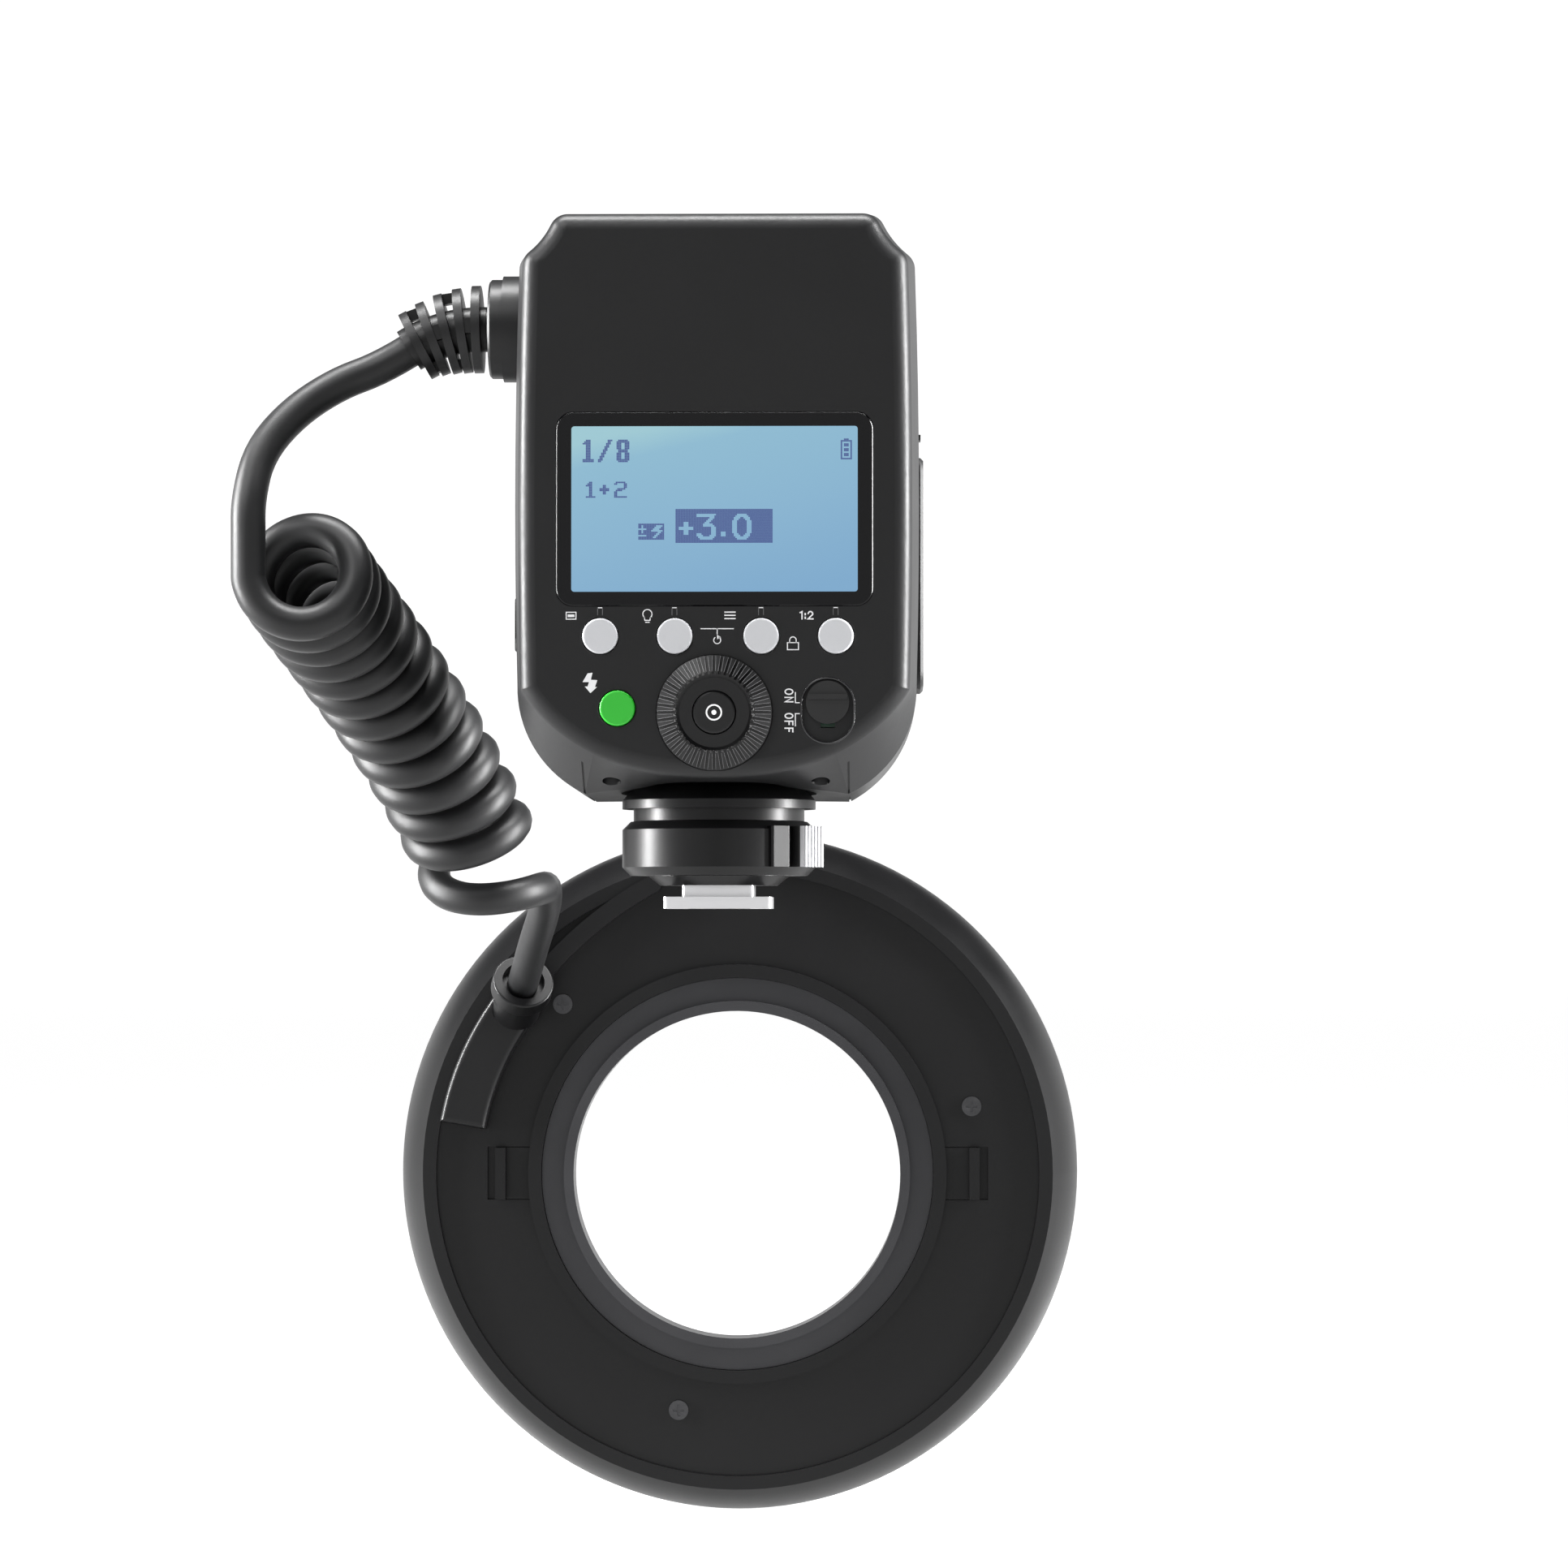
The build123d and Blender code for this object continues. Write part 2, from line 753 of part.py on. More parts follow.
# Data socket with its tongue
with BuildPart() as data_socket:
    with BuildSketch(side_plane(socket_end)):
        with Locations(data_place):
            SlotOverall(data_socket_width, data_socket_height)
    extrude(amount=-socket_length)
    with BuildSketch(side_plane(socket_end - wall)):
        with Locations(data_place):
            inner_width = data_socket_width - 2 * socket_wall
            SlotOverall(inner_width, data_socket_height - 2 * socket_wall)
            Rectangle(inner_width - data_socket_height, socket_wall, mode=Mode.SUBTRACT)
    extrude(amount=-socket_length, mode=Mode.SUBTRACT)
keep(data_socket.part, "data_socket")

# Sync socket
with BuildPart() as sync_socket:
    with BuildSketch(side_plane(socket_end)):
        with Locations(sync_place):
            Circle(sync_socket_radius)
    extrude(amount=-socket_length)
    with BuildSketch(side_plane(socket_end - socket_wall)):
        with Locations(sync_place):
            Circle(sync_socket_bore)
    extrude(amount=-socket_length, mode=Mode.SUBTRACT)
keep(sync_socket.part, "sync_socket")

# Red window of the focus assist lamp
with BuildPart() as assist_window:
    with BuildSketch(rear_plane(front_y)):
        with Locations((0, assist_centre_height)):
            RectangleRounded(assist_width, assist_height, assist_corner)
    extrude(amount=assist_thickness)
keep(assist_window.part, "assist_window")

# Screws that close the unit from below
for side, place in (("right", case_screw_place), ("left", mirrored(case_screw_place))):
    with BuildPart() as case_screw:
        with BuildSketch(Plane.XY.offset(case_screw_head)):
            with Locations(place):
                Circle(case_screw_radius)
        extrude(amount=case_screw_length)
        with BuildSketch(Plane.XY.offset(case_screw_head)):
            with Locations(place):
                RegularPolygon(case_screw_radius / 2, 6)
        extrude(amount=case_screw_recess, mode=Mode.SUBTRACT)
    keep(case_screw.part, f"case_screw_{side}")


# Four grey keys under the display and the green test key: a cap, a flange and a stem each
key_names = [f"key_{number}" for number in range(1, len(key_places) + 1)] + ["test_key"]
for name, place in zip(key_names, key_centres):
    with BuildPart() as key:
        with BuildSketch(rear_plane(key_flange_y)):
            with Locations(place):
                Circle(key_radius)
        extrude(amount=key_flange_y - rear_y + key_proud)
        fillet(key.faces().sort_by(Axis.Y)[0].edges(), radius=key_dome)
        with BuildSketch(rear_plane(key_flange_y + key_flange_thickness)):
            with Locations(place):
                Circle(key_radius + key_flange)
        extrude(amount=key_flange_thickness)
        with BuildSketch(rear_plane(key_flange_y + key_flange_thickness + slide_gap)):
            with Locations(place):
                Circle(key_stem_diameter / 2)
        extrude(amount=slide_gap)
    keep(key.part, name)

# Dial: a dished ring with radial grooves on its slope, and a sleeve through the cover
dial_axis = Axis((0, 0, dial_height), (0, 1, 0))
dial_section = Plane(origin=(0, 0, dial_height), x_dir=(1, 0, 0), z_dir=(0, 0, 1))
dial_bore = set_key_radius + slide_gap
dial_under_y = rear_y + dial_well_depth - key_gap
dial_slope = math.degrees(math.atan2(dial_rim, dial_radius - dial_dish_radius))
groove_middle = (dial_radius + dial_dish_radius) / 2
groove_y = dial_face_y + dial_rim / 2
groove_plane = Plane(origin=(0, groove_y, dial_height), x_dir=(1, 0, 0), z_dir=(0, -1, 0))
with BuildPart(groove_plane) as grooves:
    with PolarLocations(groove_middle, dial_grooves):
        Box(
            2 * (dial_radius - dial_dish_radius),
            dial_groove_width,
            2 * dial_groove_depth,
            rotation=(0, dial_slope, 0),
        )
with BuildPart() as dial:
    with BuildSketch(dial_section):
        with BuildLine():
            Polyline(
                (dial_bore, dial_face_y + dial_dish_depth),
                (dial_dish_radius - dial_dish_depth, dial_face_y + dial_dish_depth),
                (dial_dish_radius, dial_face_y),
                (dial_radius, dial_face_y + dial_rim),
                (dial_radius, dial_under_y),
                (dial_sleeve_radius, dial_under_y),
                (dial_sleeve_radius, sleeve_end_y),
                (dial_bore, sleeve_end_y),
                close=True,
            )
        make_face()
    revolve(axis=dial_axis)
    add(grooves.part, mode=Mode.SUBTRACT)
keep(dial.part, "dial")

# Centre key of the dial
set_key_end_y = tact_y - key_travel - slide_gap
with BuildPart() as set_key:
    with BuildSketch(rear_plane(set_key_end_y)):
        with Locations((0, dial_height)):
            Circle(set_key_radius)
    extrude(amount=set_key_end_y - rear_y + set_key_proud)
    fillet(set_key.faces().sort_by(Axis.Y)[0].edges(), radius=key_dome)
keep(set_key.part, "set_key")

# Power switch: a round knob with a ridge, its stem and its inner plate
knob_z = switch_z + switch_rise
with BuildPart() as power_switch:
    with BuildSketch(rear_plane(switch_floor_y - running_gap)):
        with Locations((switch_x, knob_z)):
            Circle(switch_knob_radius)
    extrude(amount=switch_well_depth - running_gap)
    with BuildSketch(rear_plane(rear_y)):
        with Locations((switch_x, knob_z + switch_knob_radius / 4)):
            Rectangle(switch_ridge_length, switch_ridge_width)
    extrude(amount=switch_ridge_proud)
    with BuildSketch(rear_plane(key_flange_y + key_flange_thickness)):
        with Locations((switch_x, knob_z)):
            Rectangle(switch_stem_width, switch_stem_height)
    extrude(amount=key_flange_y + key_flange_thickness - switch_floor_y + running_gap)
    with BuildSketch(rear_plane(key_flange_y + key_flange_thickness)):
        with Locations((switch_x, knob_z)):
            Rectangle(switch_well_width / 2, switch_stem_height)
    extrude(amount=key_flange_thickness)
keep(power_switch.part, "power_switch")

# Domed foot base with its neck, its core and the cone above the shoe plate
with BuildPart() as foot_base:
    with BuildSketch(Plane.XZ):
        with BuildLine():
            dome_middle_radius = (dome_radius + dome_top_radius) / 2 + small_round
            dome_middle = (dome_middle_radius, (dome_edge_height + dome_top) / 2 + small_round)
            Polyline(
                (0, cone_bottom),
                (cone_bottom_radius, cone_bottom),
                (cone_top_radius, collar_bottom - seat_gap),
                (core_radius, collar_bottom - seat_gap),
                (core_radius, collar_top + seat_gap),
                (neck_radius, collar_top + seat_gap),
                (neck_radius, dome_bottom),
                (dome_radius, dome_bottom),
                (dome_radius, dome_edge_height),
            )
            ThreePointArc((dome_radius, dome_edge_height), dome_middle, (dome_top_radius, dome_top))
            Polyline((dome_top_radius, dome_top), (0, dome_top), (0, cone_bottom))
        make_face()
    revolve(axis=Axis.Z)
    with BuildSketch(Plane.XY.offset(cone_bottom)):
        with Locations((0, lock_pin_depth_place)):
            Circle(lock_pin_radius + running_gap)
    extrude(amount=lock_pin_length - cone_bottom + overrun, mode=Mode.SUBTRACT)
keep(foot_base.part, "foot_base")

# Shoe plate with its neck, open for the contact carrier and the lock pin
with BuildPart() as shoe_plate:
    with BuildSketch(Plane.XY):
        RectangleRounded(shoe_width, shoe_length, shoe_corner)
    extrude(amount=shoe_thickness)
    with BuildSketch(Plane.XY.offset(shoe_thickness)):
        RectangleRounded(shoe_neck_width, shoe_neck_length, shoe_corner)
        with Locations((0, lock_pin_depth_place)):
            Circle(2 * lock_pin_radius)
    extrude(amount=cone_bottom - shoe_thickness)
    with BuildSketch(Plane.XY):
        RectangleRounded(
            carrier_width + 2 * seat_gap, carrier_length + 2 * seat_gap, carrier_corner
        )
    extrude(amount=carrier_thickness, mode=Mode.SUBTRACT)
    with BuildSketch(Plane.XY):
        with Locations((0, lock_pin_depth_place)):
            Circle(lock_pin_radius + running_gap)
    extrude(amount=cone_bottom, mode=Mode.SUBTRACT)
    with BuildSketch(Plane.XY):
        with Locations(*contact_places):
            Circle(contact_radius + seat_gap)
    extrude(amount=contact_length, mode=Mode.SUBTRACT)
keep(shoe_plate.part, "shoe_plate")

# Contact carrier in the underside of the plate
with BuildPart() as contact_carrier:
    with BuildSketch(Plane.XY):
        RectangleRounded(carrier_width, carrier_length, carrier_corner)
        with Locations(*contact_places):
            Circle(contact_radius + seat_gap, mode=Mode.SUBTRACT)
    extrude(amount=carrier_thickness)
keep(contact_carrier.part, "contact_carrier")

# Five contacts
for number, place in enumerate(contact_places, start=1):
    with BuildPart() as contact:
        with BuildSketch(Plane.XY):
            with Locations(place):
                Circle(contact_radius)
        extrude(amount=contact_length)
        fillet(contact.edges().group_by(Axis.Z)[0], radius=contact_radius / 2)
    keep(contact.part, f"contact_{number}")

# Lock pin, drawn in at rest
with BuildPart() as lock_pin:
    with BuildSketch(Plane.XY.offset(pin_recess)):
        with Locations((0, lock_pin_depth_place)):
            Circle(lock_pin_radius)
    extrude(amount=lock_pin_length)
    chamfer(lock_pin.edges().group_by(Axis.Z)[0], length=pin_recess)
keep(lock_pin.part, "lock_pin")

# Lock collar with its raised pad and its lever, which stand at the right of the rear
collar_bore = core_radius + running_gap
with BuildPart() as lock_ring:
    with BuildSketch(Plane.XZ):
        with BuildLine():
            Polyline(
                (collar_bore, collar_bottom),
                (collar_radius - collar_chamfer, collar_bottom),
                (collar_radius, collar_bottom + collar_chamfer),
                (collar_radius, collar_top - collar_chamfer),
                (collar_radius - collar_chamfer, collar_top),
                (collar_bore, collar_top),
                close=True,
            )
        make_face()
    revolve(axis=Axis.Z)
    pad_frame = Plane.XY.offset(lever_bottom).rotated((0, 0, pad_angle - 90))
    with BuildSketch(pad_frame):
        with Locations((collar_radius - overrun, 0)):
            Rectangle(overrun + pad_proud, pad_width, align=(Align.MIN, Align.CENTER))
    extrude(amount=lever_height)
    lever_frame = Plane.XY.offset(lever_bottom).rotated((0, 0, lever_angle - 90))
    with BuildSketch(lever_frame):
        with Locations((collar_radius - overrun, 0)):
            reach = lever_reach - grip_thickness - collar_radius + overrun
            Rectangle(reach, lever_width, align=(Align.MIN, Align.CENTER))
    extrude(amount=lever_height)
    outer_edges = lock_ring.edges().filter_by(Axis.Z).filter_by(
        lambda edge: math.hypot(edge.center().X, edge.center().Y) > collar_radius + small_round
    )
    fillet(outer_edges, radius=small_round)
keep(lock_ring.part, "lock_ring")

# Light ribbed grip on the lever's end
grip_start = lever_reach - grip_thickness
with BuildPart() as lever_grip:
    with BuildSketch(lever_frame):
        with Locations((grip_start, 0)):
            plate_thickness = grip_thickness - grip_rib_proud
            Rectangle(plate_thickness, lever_width, align=(Align.MIN, Align.CENTER))
        with Locations((lever_reach - grip_rib_proud, 0)):
            with GridLocations(0, lever_width / grip_ribs, 1, grip_ribs):
                Rectangle(2 * grip_rib_proud, grip_rib_width)
    extrude(amount=lever_height)
keep(lever_grip.part, "lever_grip")

# Socket flange of the cord on its boss
with BuildPart() as cable_gland:
    with BuildSketch(side_plane(gland_boss_end)):
        with Locations((0, gland_height)):
            Circle(gland_disc_radius)
    extrude(amount=gland_disc_end - gland_boss_end)
    chamfer(cable_gland.edges().group_by(Axis.X)[0], length=small_round)
    with BuildSketch(side_plane(gland_disc_end)):
        with Locations((0, gland_height)):
            Circle(gland_neck_radius)
    extrude(amount=gland_neck_end - gland_disc_end)
keep(cable_gland.part, "cable_gland")

# Strain relief: a core that bends down to the cord, with rings linked in pairs by bars
relief_tip = Vector(*upper_route[0])
relief_aim = (Vector(*upper_route[1]) - relief_tip).normalized()
tip_run = (gland_height - relief_tip.Z) / -relief_aim.Z
bend_corner = relief_tip - relief_aim * tip_run
bend_start = bend_corner + Vector(tip_run, 0, 0)
relief_start = Vector(gland_neck_end, 0, gland_height)
with BuildPart() as strain_relief:
    with BuildLine():
        Line(relief_start, bend_start)
        bend = TangentArc(bend_start, relief_tip, tangent=(-1, 0, 0))
    with BuildSketch(Plane(origin=relief_start, z_dir=(-1, 0, 0))):
        Circle(relief_core_radius)
    sweep()
    ring_count = len(relief_ring_radii)
    ring_step = 1 / ring_count
    for index, ring_radius_here in enumerate(relief_ring_radii):
        station = ring_step * (index + 0.5) - ring_step / 4
        ring_frame = Plane(
            origin=bend @ station, x_dir=(0, 1, 0), z_dir=bend % station
        )
        with BuildSketch(ring_frame):
            Circle(ring_radius_here)
        extrude(amount=relief_ring_width / 2, both=True)
        if index < ring_count - 1:
            bar_angle = 90 * (index % 2)
            bar_length = bend.length * ring_step
            bar_middle = relief_ring_radii[index + 1] - relief_bar_depth / 2 - small_round
            with BuildSketch(ring_frame):
                with PolarLocations(bar_middle, 2, start_angle=bar_angle):
                    Rectangle(relief_bar_depth, relief_bar_width)
            extrude(amount=bar_length)
keep(strain_relief.part, "strain_relief")


def turn_between(before, corner, after):
    """The angle in degrees by which a route turns at a corner"""
    return (corner - before).get_angle(after - corner)


def cord_stretch(points, name):
    """A plain stretch of cord: straight runs joined by arcs as large as the runs allow"""
    places = [Vector(*point) for point in points]
    radii = []
    for before, corner, after in zip(places, places[1:], places[2:]):
        half_turn = math.radians(turn_between(before, corner, after)) / 2
        shorter = min((corner - before).length, (after - corner).length)
        radii.append(cord_arc_share * shorter / math.tan(half_turn))
    print(name, "radii", [round(radius, 1) for radius in radii])
    print(name, "turns", [round(turn_between(*three)) for three in zip(places, places[1:], places[2:])])
    with BuildPart() as stretch:
        with BuildLine() as path:
            FilletPolyline(*places, radius=radii)
        with BuildSketch(Plane(origin=path.wire() @ 0, z_dir=path.wire() % 0)):
            Circle(cord_radius)
        sweep()
    length = path.wire().length
    share = stretch.part.volume / (length * math.pi * cord_radius**2)
    print(name, "length", round(length, 1), "volume share", round(share, 4))
    return stretch.part


# The coil's axis, and the cord that winds round it
with BuildLine() as coil_axis:
    start = Vector(*coil_start)
    end = Vector(*coil_end)
    start_aim = Vector(*coil_start_aim).normalized()
    end_aim = Vector(*coil_end_aim).normalized()
    Bezier(start, start + start_aim * coil_start_handle, end - end_aim * coil_end_handle, end)
coil_line = coil_axis.line
left = Vector(-1, 0, 0)


def coil_way(turn):
    """How far along the axis a turn lies, unscaled: the last turn is drawn out"""
    loose = max(turn - (coil_turns - coil_loose_turns), 0)
    return turn + coil_loosening * loose**2


def coil_point(turn):
    """Where the winding is after so many turns: it starts at the left and goes down first"""
    station = coil_way(turn) / coil_way(coil_turns)
    along = coil_line % station
    side = (left - along * left.dot(along)).normalized()
    down = side.cross(along)
    angle = 2 * math.pi * turn
    reach = side * math.cos(angle) + down * math.sin(angle)
    return (coil_line @ station) + reach * coil_mean_radius


def coil_aim(turn):
    """The winding's direction there"""
    step = 0.001
    first = max(turn - step, 0)
    last = min(turn + step, coil_turns)
    return (coil_point(last) - coil_point(first)).normalized()


def biarc(start, start_aim, end, end_aim):
    """Two arcs that leave and arrive in the given directions"""
    chord = end - start
    both = start_aim + end_aim
    spread = 2 * (1 - start_aim.dot(end_aim))
    lean = chord.dot(both)
    handle = (math.sqrt(lean**2 + spread * chord.dot(chord)) - lean) / spread
    first_corner = start + start_aim * handle
    second_corner = end - end_aim * handle
    joint = (first_corner + second_corner) * 0.5
    TangentArc(start, joint, tangent=start_aim)
    TangentArc(joint, end, tangent=(second_corner - first_corner).normalized())


# The curly cord: half turns as biarcs, with a straight end of one cord diameter at each side
half_turns = math.floor(2 * coil_turns)
stations = [half / 2 for half in range(half_turns + 1)] + [coil_turns]
coil_entry = coil_point(0) - coil_aim(0) * cord_diameter
coil_exit = coil_point(coil_turns) + coil_aim(coil_turns) * cord_diameter
with BuildPart() as cord_coil:
    with BuildLine() as winding:
        Line(coil_entry, coil_point(0))
        for first, last in zip(stations, stations[1:]):
            biarc(coil_point(first), coil_aim(first), coil_point(last), coil_aim(last))
        Line(coil_point(coil_turns), coil_exit)
    with BuildSketch(Plane(origin=coil_entry, z_dir=coil_aim(0))):
        Circle(cord_radius)
    sweep()
winding_wire = winding.wire()
coil_length = winding_wire.length
coil_share = cord_coil.part.volume / (coil_length * math.pi * cord_radius**2)
print("cord_coil length", round(coil_length, 1), "volume share", round(coil_share, 4))
samples_per_turn = 24
sample_count = round(coil_length / (2 * math.pi * coil_mean_radius) * samples_per_turn)
samples = [winding_wire @ (index / sample_count) for index in range(sample_count + 1)]
least_gap = min(
    (samples[later] - samples[index]).length - cord_diameter
    for index in range(sample_count + 1)
    for later in range(index + samples_per_turn // 2, sample_count + 1)
)
print("cord_coil least gap to itself", round(least_gap, 2))
keep(cord_coil.part, "cord_coil")
upper_points = [*upper_route, coil_entry - coil_aim(0) * coil_entry_run, coil_entry]
lower_points = [coil_exit, coil_exit + coil_aim(coil_turns) * coil_exit_run, *lower_route]
keep(cord_stretch(upper_points, "cord_upper"), "cord_upper")
keep(cord_stretch(lower_points, "cord_lower"), "cord_lower")

# Boot: a cup round the end of the cord, on a neck that enters the clamp at a slant
cord_end = Vector(*lower_route[-1])
boot_aim = (cord_end - Vector(*lower_route[-2])).normalized()


def boot_plane(way):
    """A plane square to the boot, so far past the end of the cord"""
    return Plane(origin=cord_end + boot_aim * way, z_dir=boot_aim)


with BuildPart() as cable_boot:
    with BuildSketch(boot_plane(-boot_rim)):
        Circle(boot_radius)
    extrude(amount=boot_rim + boot_floor)
    fillet(cable_boot.edges(), radius=small_round)
    with BuildSketch(boot_plane(-boot_rim)):
        Circle(boot_bore)
    extrude(amount=boot_rim, mode=Mode.SUBTRACT)
    with BuildSketch(boot_plane(boot_floor)):
        Circle(boot_neck_radius)
    extrude(amount=boot_neck_length)
keep(cable_boot.part, "cable_boot")

# Clamp cover on the back of the ring, with the hole for the boot's neck
clamp_inner_radius = hub_radius + clamp_offset
clamp_outer_radius = band_inner_radius - seat_gap
clamp_end_angle = clamp_start_angle + clamp_sweep
clamp_middle_angle = clamp_start_angle + clamp_sweep / 2
with BuildPart() as cable_clamp:
    with BuildSketch(ring_plane(plate_depth)):
        with BuildLine():
            outer_start = polar(clamp_outer_radius, clamp_start_angle)
            outer_end = polar(clamp_outer_radius, clamp_end_angle)
            inner_start = polar(clamp_inner_radius, clamp_start_angle)
            inner_end = polar(clamp_inner_radius, clamp_end_angle)
            ThreePointArc(outer_start, polar(clamp_outer_radius, clamp_middle_angle), outer_end)
            Line(outer_end, inner_end)
            ThreePointArc(inner_end, polar(clamp_inner_radius, clamp_middle_angle), inner_start)
            Line(inner_start, outer_start)
        make_face()
    extrude(amount=clamp_rise)
    fillet(cable_clamp.edges().group_by(Axis.Y)[0], radius=clamp_round)
    with BuildSketch(boot_plane(0)):
        Circle(boot_neck_radius + seat_gap)
    extrude(amount=boot_floor + boot_neck_length + seat_gap, mode=Mode.SUBTRACT)
keep(cable_clamp.part, "cable_clamp")

# Rear shell: hub, flat back, raised band and bulged slope out to the rim
standoff_inner = hub_radius + standoff_offset
standoff_outer = standoff_inner + standoff_wall
board_front = ring_board_depth + board_thickness
slope_middle_radius = (ridge_radius + ring_radius) / 2 + slope_bulge
slope_middle_depth = ridge_depth + slope_length / 2 - slope_bulge / 2
rim_inside = ring_radius - ring_wall
screw_places = [
    polar(hub_radius + ring_screw_offset, ring_screw_start_angle + 360 / ring_screw_count * index)
    for index in range(ring_screw_count)
]
rib_start = polar(band_inner_radius - rib_inset, rib_start_angle)
rib_end = polar(band_inner_radius, rib_end_angle)
rib_line = RadiusArc(rib_start, rib_end, rib_radius)
latch_end = hub_radius + latch_reach
latch_depth = plate_depth + latch_inset
with BuildPart() as ring_rear_shell:
    with BuildSketch(ring_section):
        with BuildLine():
            Polyline(
                (rim_inside, slope_end),
                (rim_inside, rim_depth),
                (ring_radius, rim_depth),
                (ring_radius, slope_end),
            )
            ThreePointArc(
                (ring_radius, slope_end),
                (slope_middle_radius, slope_middle_depth),
                (ridge_radius, ridge_depth),
            )
            Polyline(
                (ridge_radius, ridge_depth),
                (band_inner_radius, ridge_depth),
                (band_inner_radius, plate_depth),
                (hub_radius, plate_depth),
                (hub_radius, ring_depth),
                (hub_bore, ring_depth),
                (hub_bore, seat_depth),
                (hub_radius, seat_depth),
                (hub_radius, plate_inside),
                (standoff_inner, plate_inside),
                (standoff_inner, ring_board_depth),
                (standoff_outer, ring_board_depth),
                (standoff_outer, plate_inside),
                (ridge_radius - ring_wall, plate_inside),
            )
            ThreePointArc(
                (ridge_radius - ring_wall, plate_inside),
                (slope_middle_radius - ring_wall, slope_middle_depth + ring_wall / 2),
                (rim_inside, slope_end),
            )
        make_face()
    revolve(axis=ring_axis)
    with BuildSketch(ring_plane(plate_depth)):
        SlotArc(arc=rib_line, height=rib_width)
    extrude(amount=rib_rise)
    with BuildSketch(ring_plane(plate_depth)):
        with Locations(*screw_places):
            Circle(ring_screw_shank + seat_gap)
    extrude(amount=-ring_wall, mode=Mode.SUBTRACT)
    channel_end = latch_end + latch_travel + slide_gap
    channel_length = channel_end - sleeve_radius
    for side in (-1, 1):
        with BuildSketch(ring_plane(latch_depth + latch_thickness / 2 + slide_gap)):
            with Locations((side * (sleeve_radius + channel_end) / 2, 0)):
                Rectangle(channel_length, latch_width + 2 * slide_gap)
        extrude(amount=latch_thickness + 2 * slide_gap, mode=Mode.SUBTRACT)
keep(ring_rear_shell.part, "ring_rear_shell")

# Screws on the back of the ring, each with a crossed recess
for number, place in enumerate(screw_places, start=1):
    with BuildPart() as ring_screw:
        with BuildSketch(ring_plane(plate_depth)):
            with Locations(place):
                Circle(ring_screw_radius)
        extrude(amount=ring_screw_rise)
        with BuildSketch(ring_plane(plate_depth)):
            with Locations(place):
                Circle(ring_screw_shank)
        extrude(amount=plate_depth - ring_board_depth + seat_gap)
        with BuildSketch(ring_plane(plate_depth - ring_screw_rise)):
            with Locations(place):
                Rectangle(2 * ring_screw_shank, recess_width)
                Rectangle(recess_width, 2 * ring_screw_shank)
        extrude(amount=-recess_depth, mode=Mode.SUBTRACT)
    keep(ring_screw.part, f"ring_screw_{number}")

# Board on its standoff ring
with BuildPart() as ring_board:
    with BuildSketch(ring_plane(ring_board_depth)):
        Circle(ridge_radius - ring_wall - ring_board_margin)
        Circle(hub_radius + ring_board_inset, mode=Mode.SUBTRACT)
    extrude(amount=-board_thickness)
keep(ring_board.part, "ring_board")

# Diffuser: a ring with a gently domed front and a flat margin under each lip
diffuser_depth = front_depth - bezel_front - seat_gap - diffuser_thickness
diffuser_face = diffuser_depth + diffuser_thickness
dome_inner = diffuser_inner + bezel_lip + seat_gap
dome_outer = diffuser_outer - bezel_lip - seat_gap
with BuildPart() as diffuser:
    with BuildSketch(ring_section):
        with BuildLine():
            Polyline(
                (dome_outer, diffuser_face),
                (diffuser_outer, diffuser_face),
                (diffuser_outer, diffuser_depth),
                (diffuser_inner, diffuser_depth),
                (diffuser_inner, diffuser_face),
                (dome_inner, diffuser_face),
            )
            ThreePointArc(
                (dome_inner, diffuser_face),
                ((dome_inner + dome_outer) / 2, diffuser_face + diffuser_dome),
                (dome_outer, diffuser_face),
            )
        make_face()
    revolve(axis=ring_axis)
keep(diffuser.part, "diffuser")

# Reflectors and flash tubes, one of each for either half of the ring
reflector_back = board_front + reflector_rest
reflector_front = diffuser_depth - reflector_rest
reflector_inner = diffuser_inner + bezel_lip
reflector_outer = diffuser_outer - bezel_lip
tube_middle_radius = (reflector_inner + reflector_outer) / 2
tube_depth = diffuser_depth - tube_inset
with BuildPart() as reflector_half:
    with BuildSketch(ring_section.rotated((0, -reflector_sweep / 2, 0))):
        with BuildLine():
            Polyline(
                (reflector_inner, reflector_front),
                (reflector_inner + reflector_flare, reflector_back),
                (reflector_outer - reflector_flare, reflector_back),
                (reflector_outer, reflector_front),
                (reflector_outer - reflector_wall, reflector_front),
                (reflector_outer - reflector_flare - reflector_wall, reflector_back + reflector_wall),
                (reflector_inner + reflector_flare + reflector_wall, reflector_back + reflector_wall),
                (reflector_inner + reflector_wall, reflector_front),
                close=True,
            )
        make_face()
    revolve(axis=ring_axis, revolution_arc=reflector_sweep)
with BuildPart() as tube_half:
    with BuildSketch(ring_section.rotated((0, -tube_sweep / 2, 0))):
        with Locations((tube_middle_radius, tube_depth)):
            Circle(tube_radius)
    revolve(axis=ring_axis, revolution_arc=tube_sweep)
    for side in (-1, 1):
        with BuildSketch(ring_plane(tube_depth + tube_end_radius)):
            with Locations(polar(tube_middle_radius, side * tube_sweep / 2)):
                Circle(tube_end_radius)
        extrude(amount=tube_depth + tube_end_radius - board_front)
for piece, base_name in ((reflector_half.part, "reflector"), (tube_half.part, "flash_tube")):
    keep(piece, f"{base_name}_right")
    keep(piece.rotate(ring_axis, 180), f"{base_name}_left")

